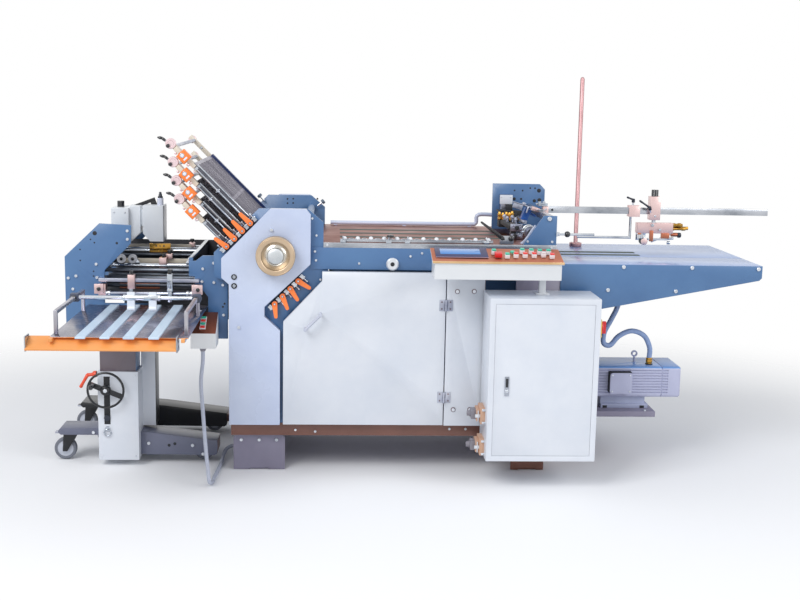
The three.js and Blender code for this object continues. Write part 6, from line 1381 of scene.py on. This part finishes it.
apron, copper_guide = bmesh.new(), bmesh.new()
brick(apron, -600, -119, 281, 285, 474, 812)
brick(apron, -596, -240, -262, 281, 676, 680)
brick(copper_guide, -534, -384, -206, -202, 652, 698)
brick(copper_guide, -534, -384, -206, -190, 696, 699)
for shape, name, *finish in (
        (apron, "delivery_rear_apron", "dark_steel", grid_shade, 0.6),
        (copper_guide, "sheet_guide_plate", "copper_top", console_copper, 0.6),
        (cross_rollers, "cross_fold_rollers", "dark_steel", knurled_steel),
        (cream_channel, "cross_fold_channels", "panel_white", cream_cast, 0.6),
        (brass_bar, "sensor_bracket", "gold_wheel", brass, 0.5),
        (plated, "delivery_collars_and_rods", "bright_steel", chrome, 0.4),
        (pinks, "delivery_clamp_blocks", "pink_aluminium", pink_metal, 1.0),
        (black_knobs, "delivery_clamp_knobs", "black_paint", black_phenolic, 0.0, 2, 50),
        (disc_faces, "slitter_disc_faces", "white_nylon", button_white)):
    finish_piece(shape, name, "delivery_head", *finish)

# Knife covers: two white folded hoods over the cross-fold knife's drive, with a black knob, a black
# stay and a proximity sensor in a plated sleeve on top.
hood_white = stoved_enamel("white_hood_enamel", "e9edf0", "dce1e8", roughness=0.3)
dress("knife_cover", hood_white, 1.8, 3, parts=((black_phenolic, within(-575, -545, -15, 15, 971.5, 996)),
      (hinge_plate, within(-418, -394, -12, 12, 981.3, 1009))))
sensor, stay = bmesh.new(), bmesh.new()
turned(sensor, (-406, 0, 1007), up, [(0, 8.6), (1, 9.6), (8, 9.6), (9, 7), (16, 6.4), (18, 5), (24, 4.6),
                                     (25, 3)], 20)
leaning = Matrix.Translation((-474, 18, 986)) @ Matrix.Rotation(radians(-21), 4, "Y")
brick(stay, -48, 48, -2, 2, -8, 6, leaning)
brick(stay, 26, 48, -2, 2, -24, -7, leaning)
rod(stay, (-512, -14, 970), (-512, 16, 970), 5, 14)
finish_piece(sensor, "knife_sensor_head", "delivery_head", "black_paint", lever_black, 0.4)
finish_piece(stay, "knife_cover_stay", "delivery_head", "black_paint", black_enamel, 0.6)
screws("knife_cover_screws", "delivery_head", [(-577, -60, 955), (-577, -60, 905), (-535, -60, 955)],
       front, 3.6, 2.4, zinc, sides=12)

# Delivery tray: a flat brushed steel sheet with four pale-blue sliding strips, on two arms. Its
# front edge is folded down into an orange-brown painted lip with steel end plates.
tray_steel = bare_metal("brushed_tray_steel", "9a98a6", "807e8e", 1.6, (0.06, 1.0, 1.0), 0.22)
strip_blue = moulded("pale_blue_sliding_strip", "cfe2f2", "bcd2e8", 6.0, 0.4, 0.05, 0.1)
lip_orange = stoved_enamel("orange_brown_lip_enamel", "f0a560", "e39650", 2.2, 0.3)
dress("delivery_tray", tray_steel, 0.5, parts=(
    (strip_blue, lambda c, n: c.z > 634.2 and c.y > -956), (ground_bar, within(y0=-904, z1=632)),
    (lip_orange, lambda c, n: c.y < -904 and c.z < 633.4)))
tray_ends, tray_slots = bmesh.new(), bmesh.new()
brick(tray_ends, -226, -221.4, -960, -906, 590, 640)
brick(tray_ends, -706, -702, -958, -906, 590, 640)
# Painted shade: thin near-black discs stand in for the shade inside the end plate's holes
for z in (606, 622):
    turned(tray_slots, (-221.4, -934, z), (1, 0, 0), [(-0.2, 4), (0.3, 4), (0.5, 3.4)], 14)
finish_piece(tray_ends, "tray_lip_end_plates", "delivery_head", "bright_steel", ground_bar, 1.0)
finish_piece(tray_slots, "tray_end_plate_holes", "delivery_head", "dark_steel", black_and_painted_shade)
screws("tray_screws", "delivery_head", [(x, y, 634) for x in (-626, -205) for y in (-880, -420)], up, 4,
       1.6, zinc, sides=12)

# Stack guides: flat and round bars of bright steel that square the folded sheets, joined by a
# chromed cross rod in dark clamp corners with black knobs.
guide_steel = bare_metal("satin_guide_steel", "c6c5cb", "9f9ea8", 1.4, (1.0, 0.1, 1.0), 0.28)
corner_slate = moulded("slate_clamp_corner", "4c5468", "3e4558", 4.0, 0.4, 0.15, 0.1)
dress("stack_guides", guide_steel, 0.8, parts=(
    (corner_slate, lambda c, n: (c.x < -607.5 or c.x > -216.5) and -597 < c.y < -567 and c.z > 691),
    (chrome, within(-607.5, -216.5, -590, -574, 698, 714))))
guide_knobs, guide_rings = bmesh.new(), bmesh.new()
for x in (-622, -202):
    turned(guide_knobs, (x, -596, 706), front, [(0, 4.5), (3, 4.5), (4, 9), (11, 10), (14, 8), (14.6, 0)],
           18)
for x in (-452, -331):
    turned(guide_rings, (x - 4, -582, 706), (1, 0, 0), [(0, 7.3), (0, 10.6), (1, 11.6), (7, 11.6),
           (8, 10.6), (8, 7.3), (0, 7.3)], 24)
finish_piece(guide_knobs, "guide_clamp_knobs", "delivery_head", "black_paint", black_phenolic, smooth=50)
finish_piece(guide_rings, "press_roller_collars", "delivery_head", "bright_steel", chrome)

# Press fingers: two blocks of white nylon that hang from the cross rod on a sleeve and keep the
# folded sheets down. They swing forward to clear the tray.
nylon_white = moulded("white_nylon_finger", "eef2f8", "dde5f0", 5.0, 0.36, 0.05, 0.15)
dress("press_rollers", nylon_white, 2.4, 3, parts=(
    (chrome, lambda c, n: c.x < -442.4 or -415.6 < c.x < -367.4 or c.x > -340.6),))

# Delivery control box: a small cream box under a brown sloping top with two red and two green push
# buttons, on an arm of the right plate. The supply cable leaves through a grey gland.
box_brown = bare_metal("copper_brown_box_top", "96604f", "7e4c3e", 2.0, roughness=0.4)
dress("delivery_control_box", cream_coat, 1.6, 3, parts=(
    (box_brown, lambda c, n: n.z > 0.5 and c.y < -349 and c.z > 556), (hood_grey, within(z1=497.9))))
pod_slope = Matrix.Translation((-194.5, -450, 555)) @ Matrix.Rotation(atan(62 / 100), 4, "X")
pod_bodies = bmesh.new()
for colour, rows in (("red", (28, 62)), ("green", (45, 79))):
    keys = bmesh.new()
    for along in rows:
        brick(keys, -13, 5, along - 5, along + 5, 5.6, 9.5, pod_slope)
        brick(pod_bodies, -15, 7, along - 6.6, along + 6.6, -0.4, 6, pod_slope)
    finish_piece(keys, f"delivery_buttons_{colour}", "delivery_head", caps_of[colour][1],
                 caps_of[colour][0], 1.2, 3)
finish_piece(pod_bodies, "delivery_button_bodies", "delivery_head", "white_nylon", button_white, 0.8)
gland = bmesh.new()
turned(gland, (-198, -430, 493.4), up, [(-8, 8), (-7, 10.6), (-1, 11.4), (0, 13), (4.4, 13), (4.4, 7.2),
                                        (-8, 7.2), (-8, 8)], 6)
finish_piece(gland, "box_cable_gland", "delivery_head", "frame_grey", hood_grey, 0.5)
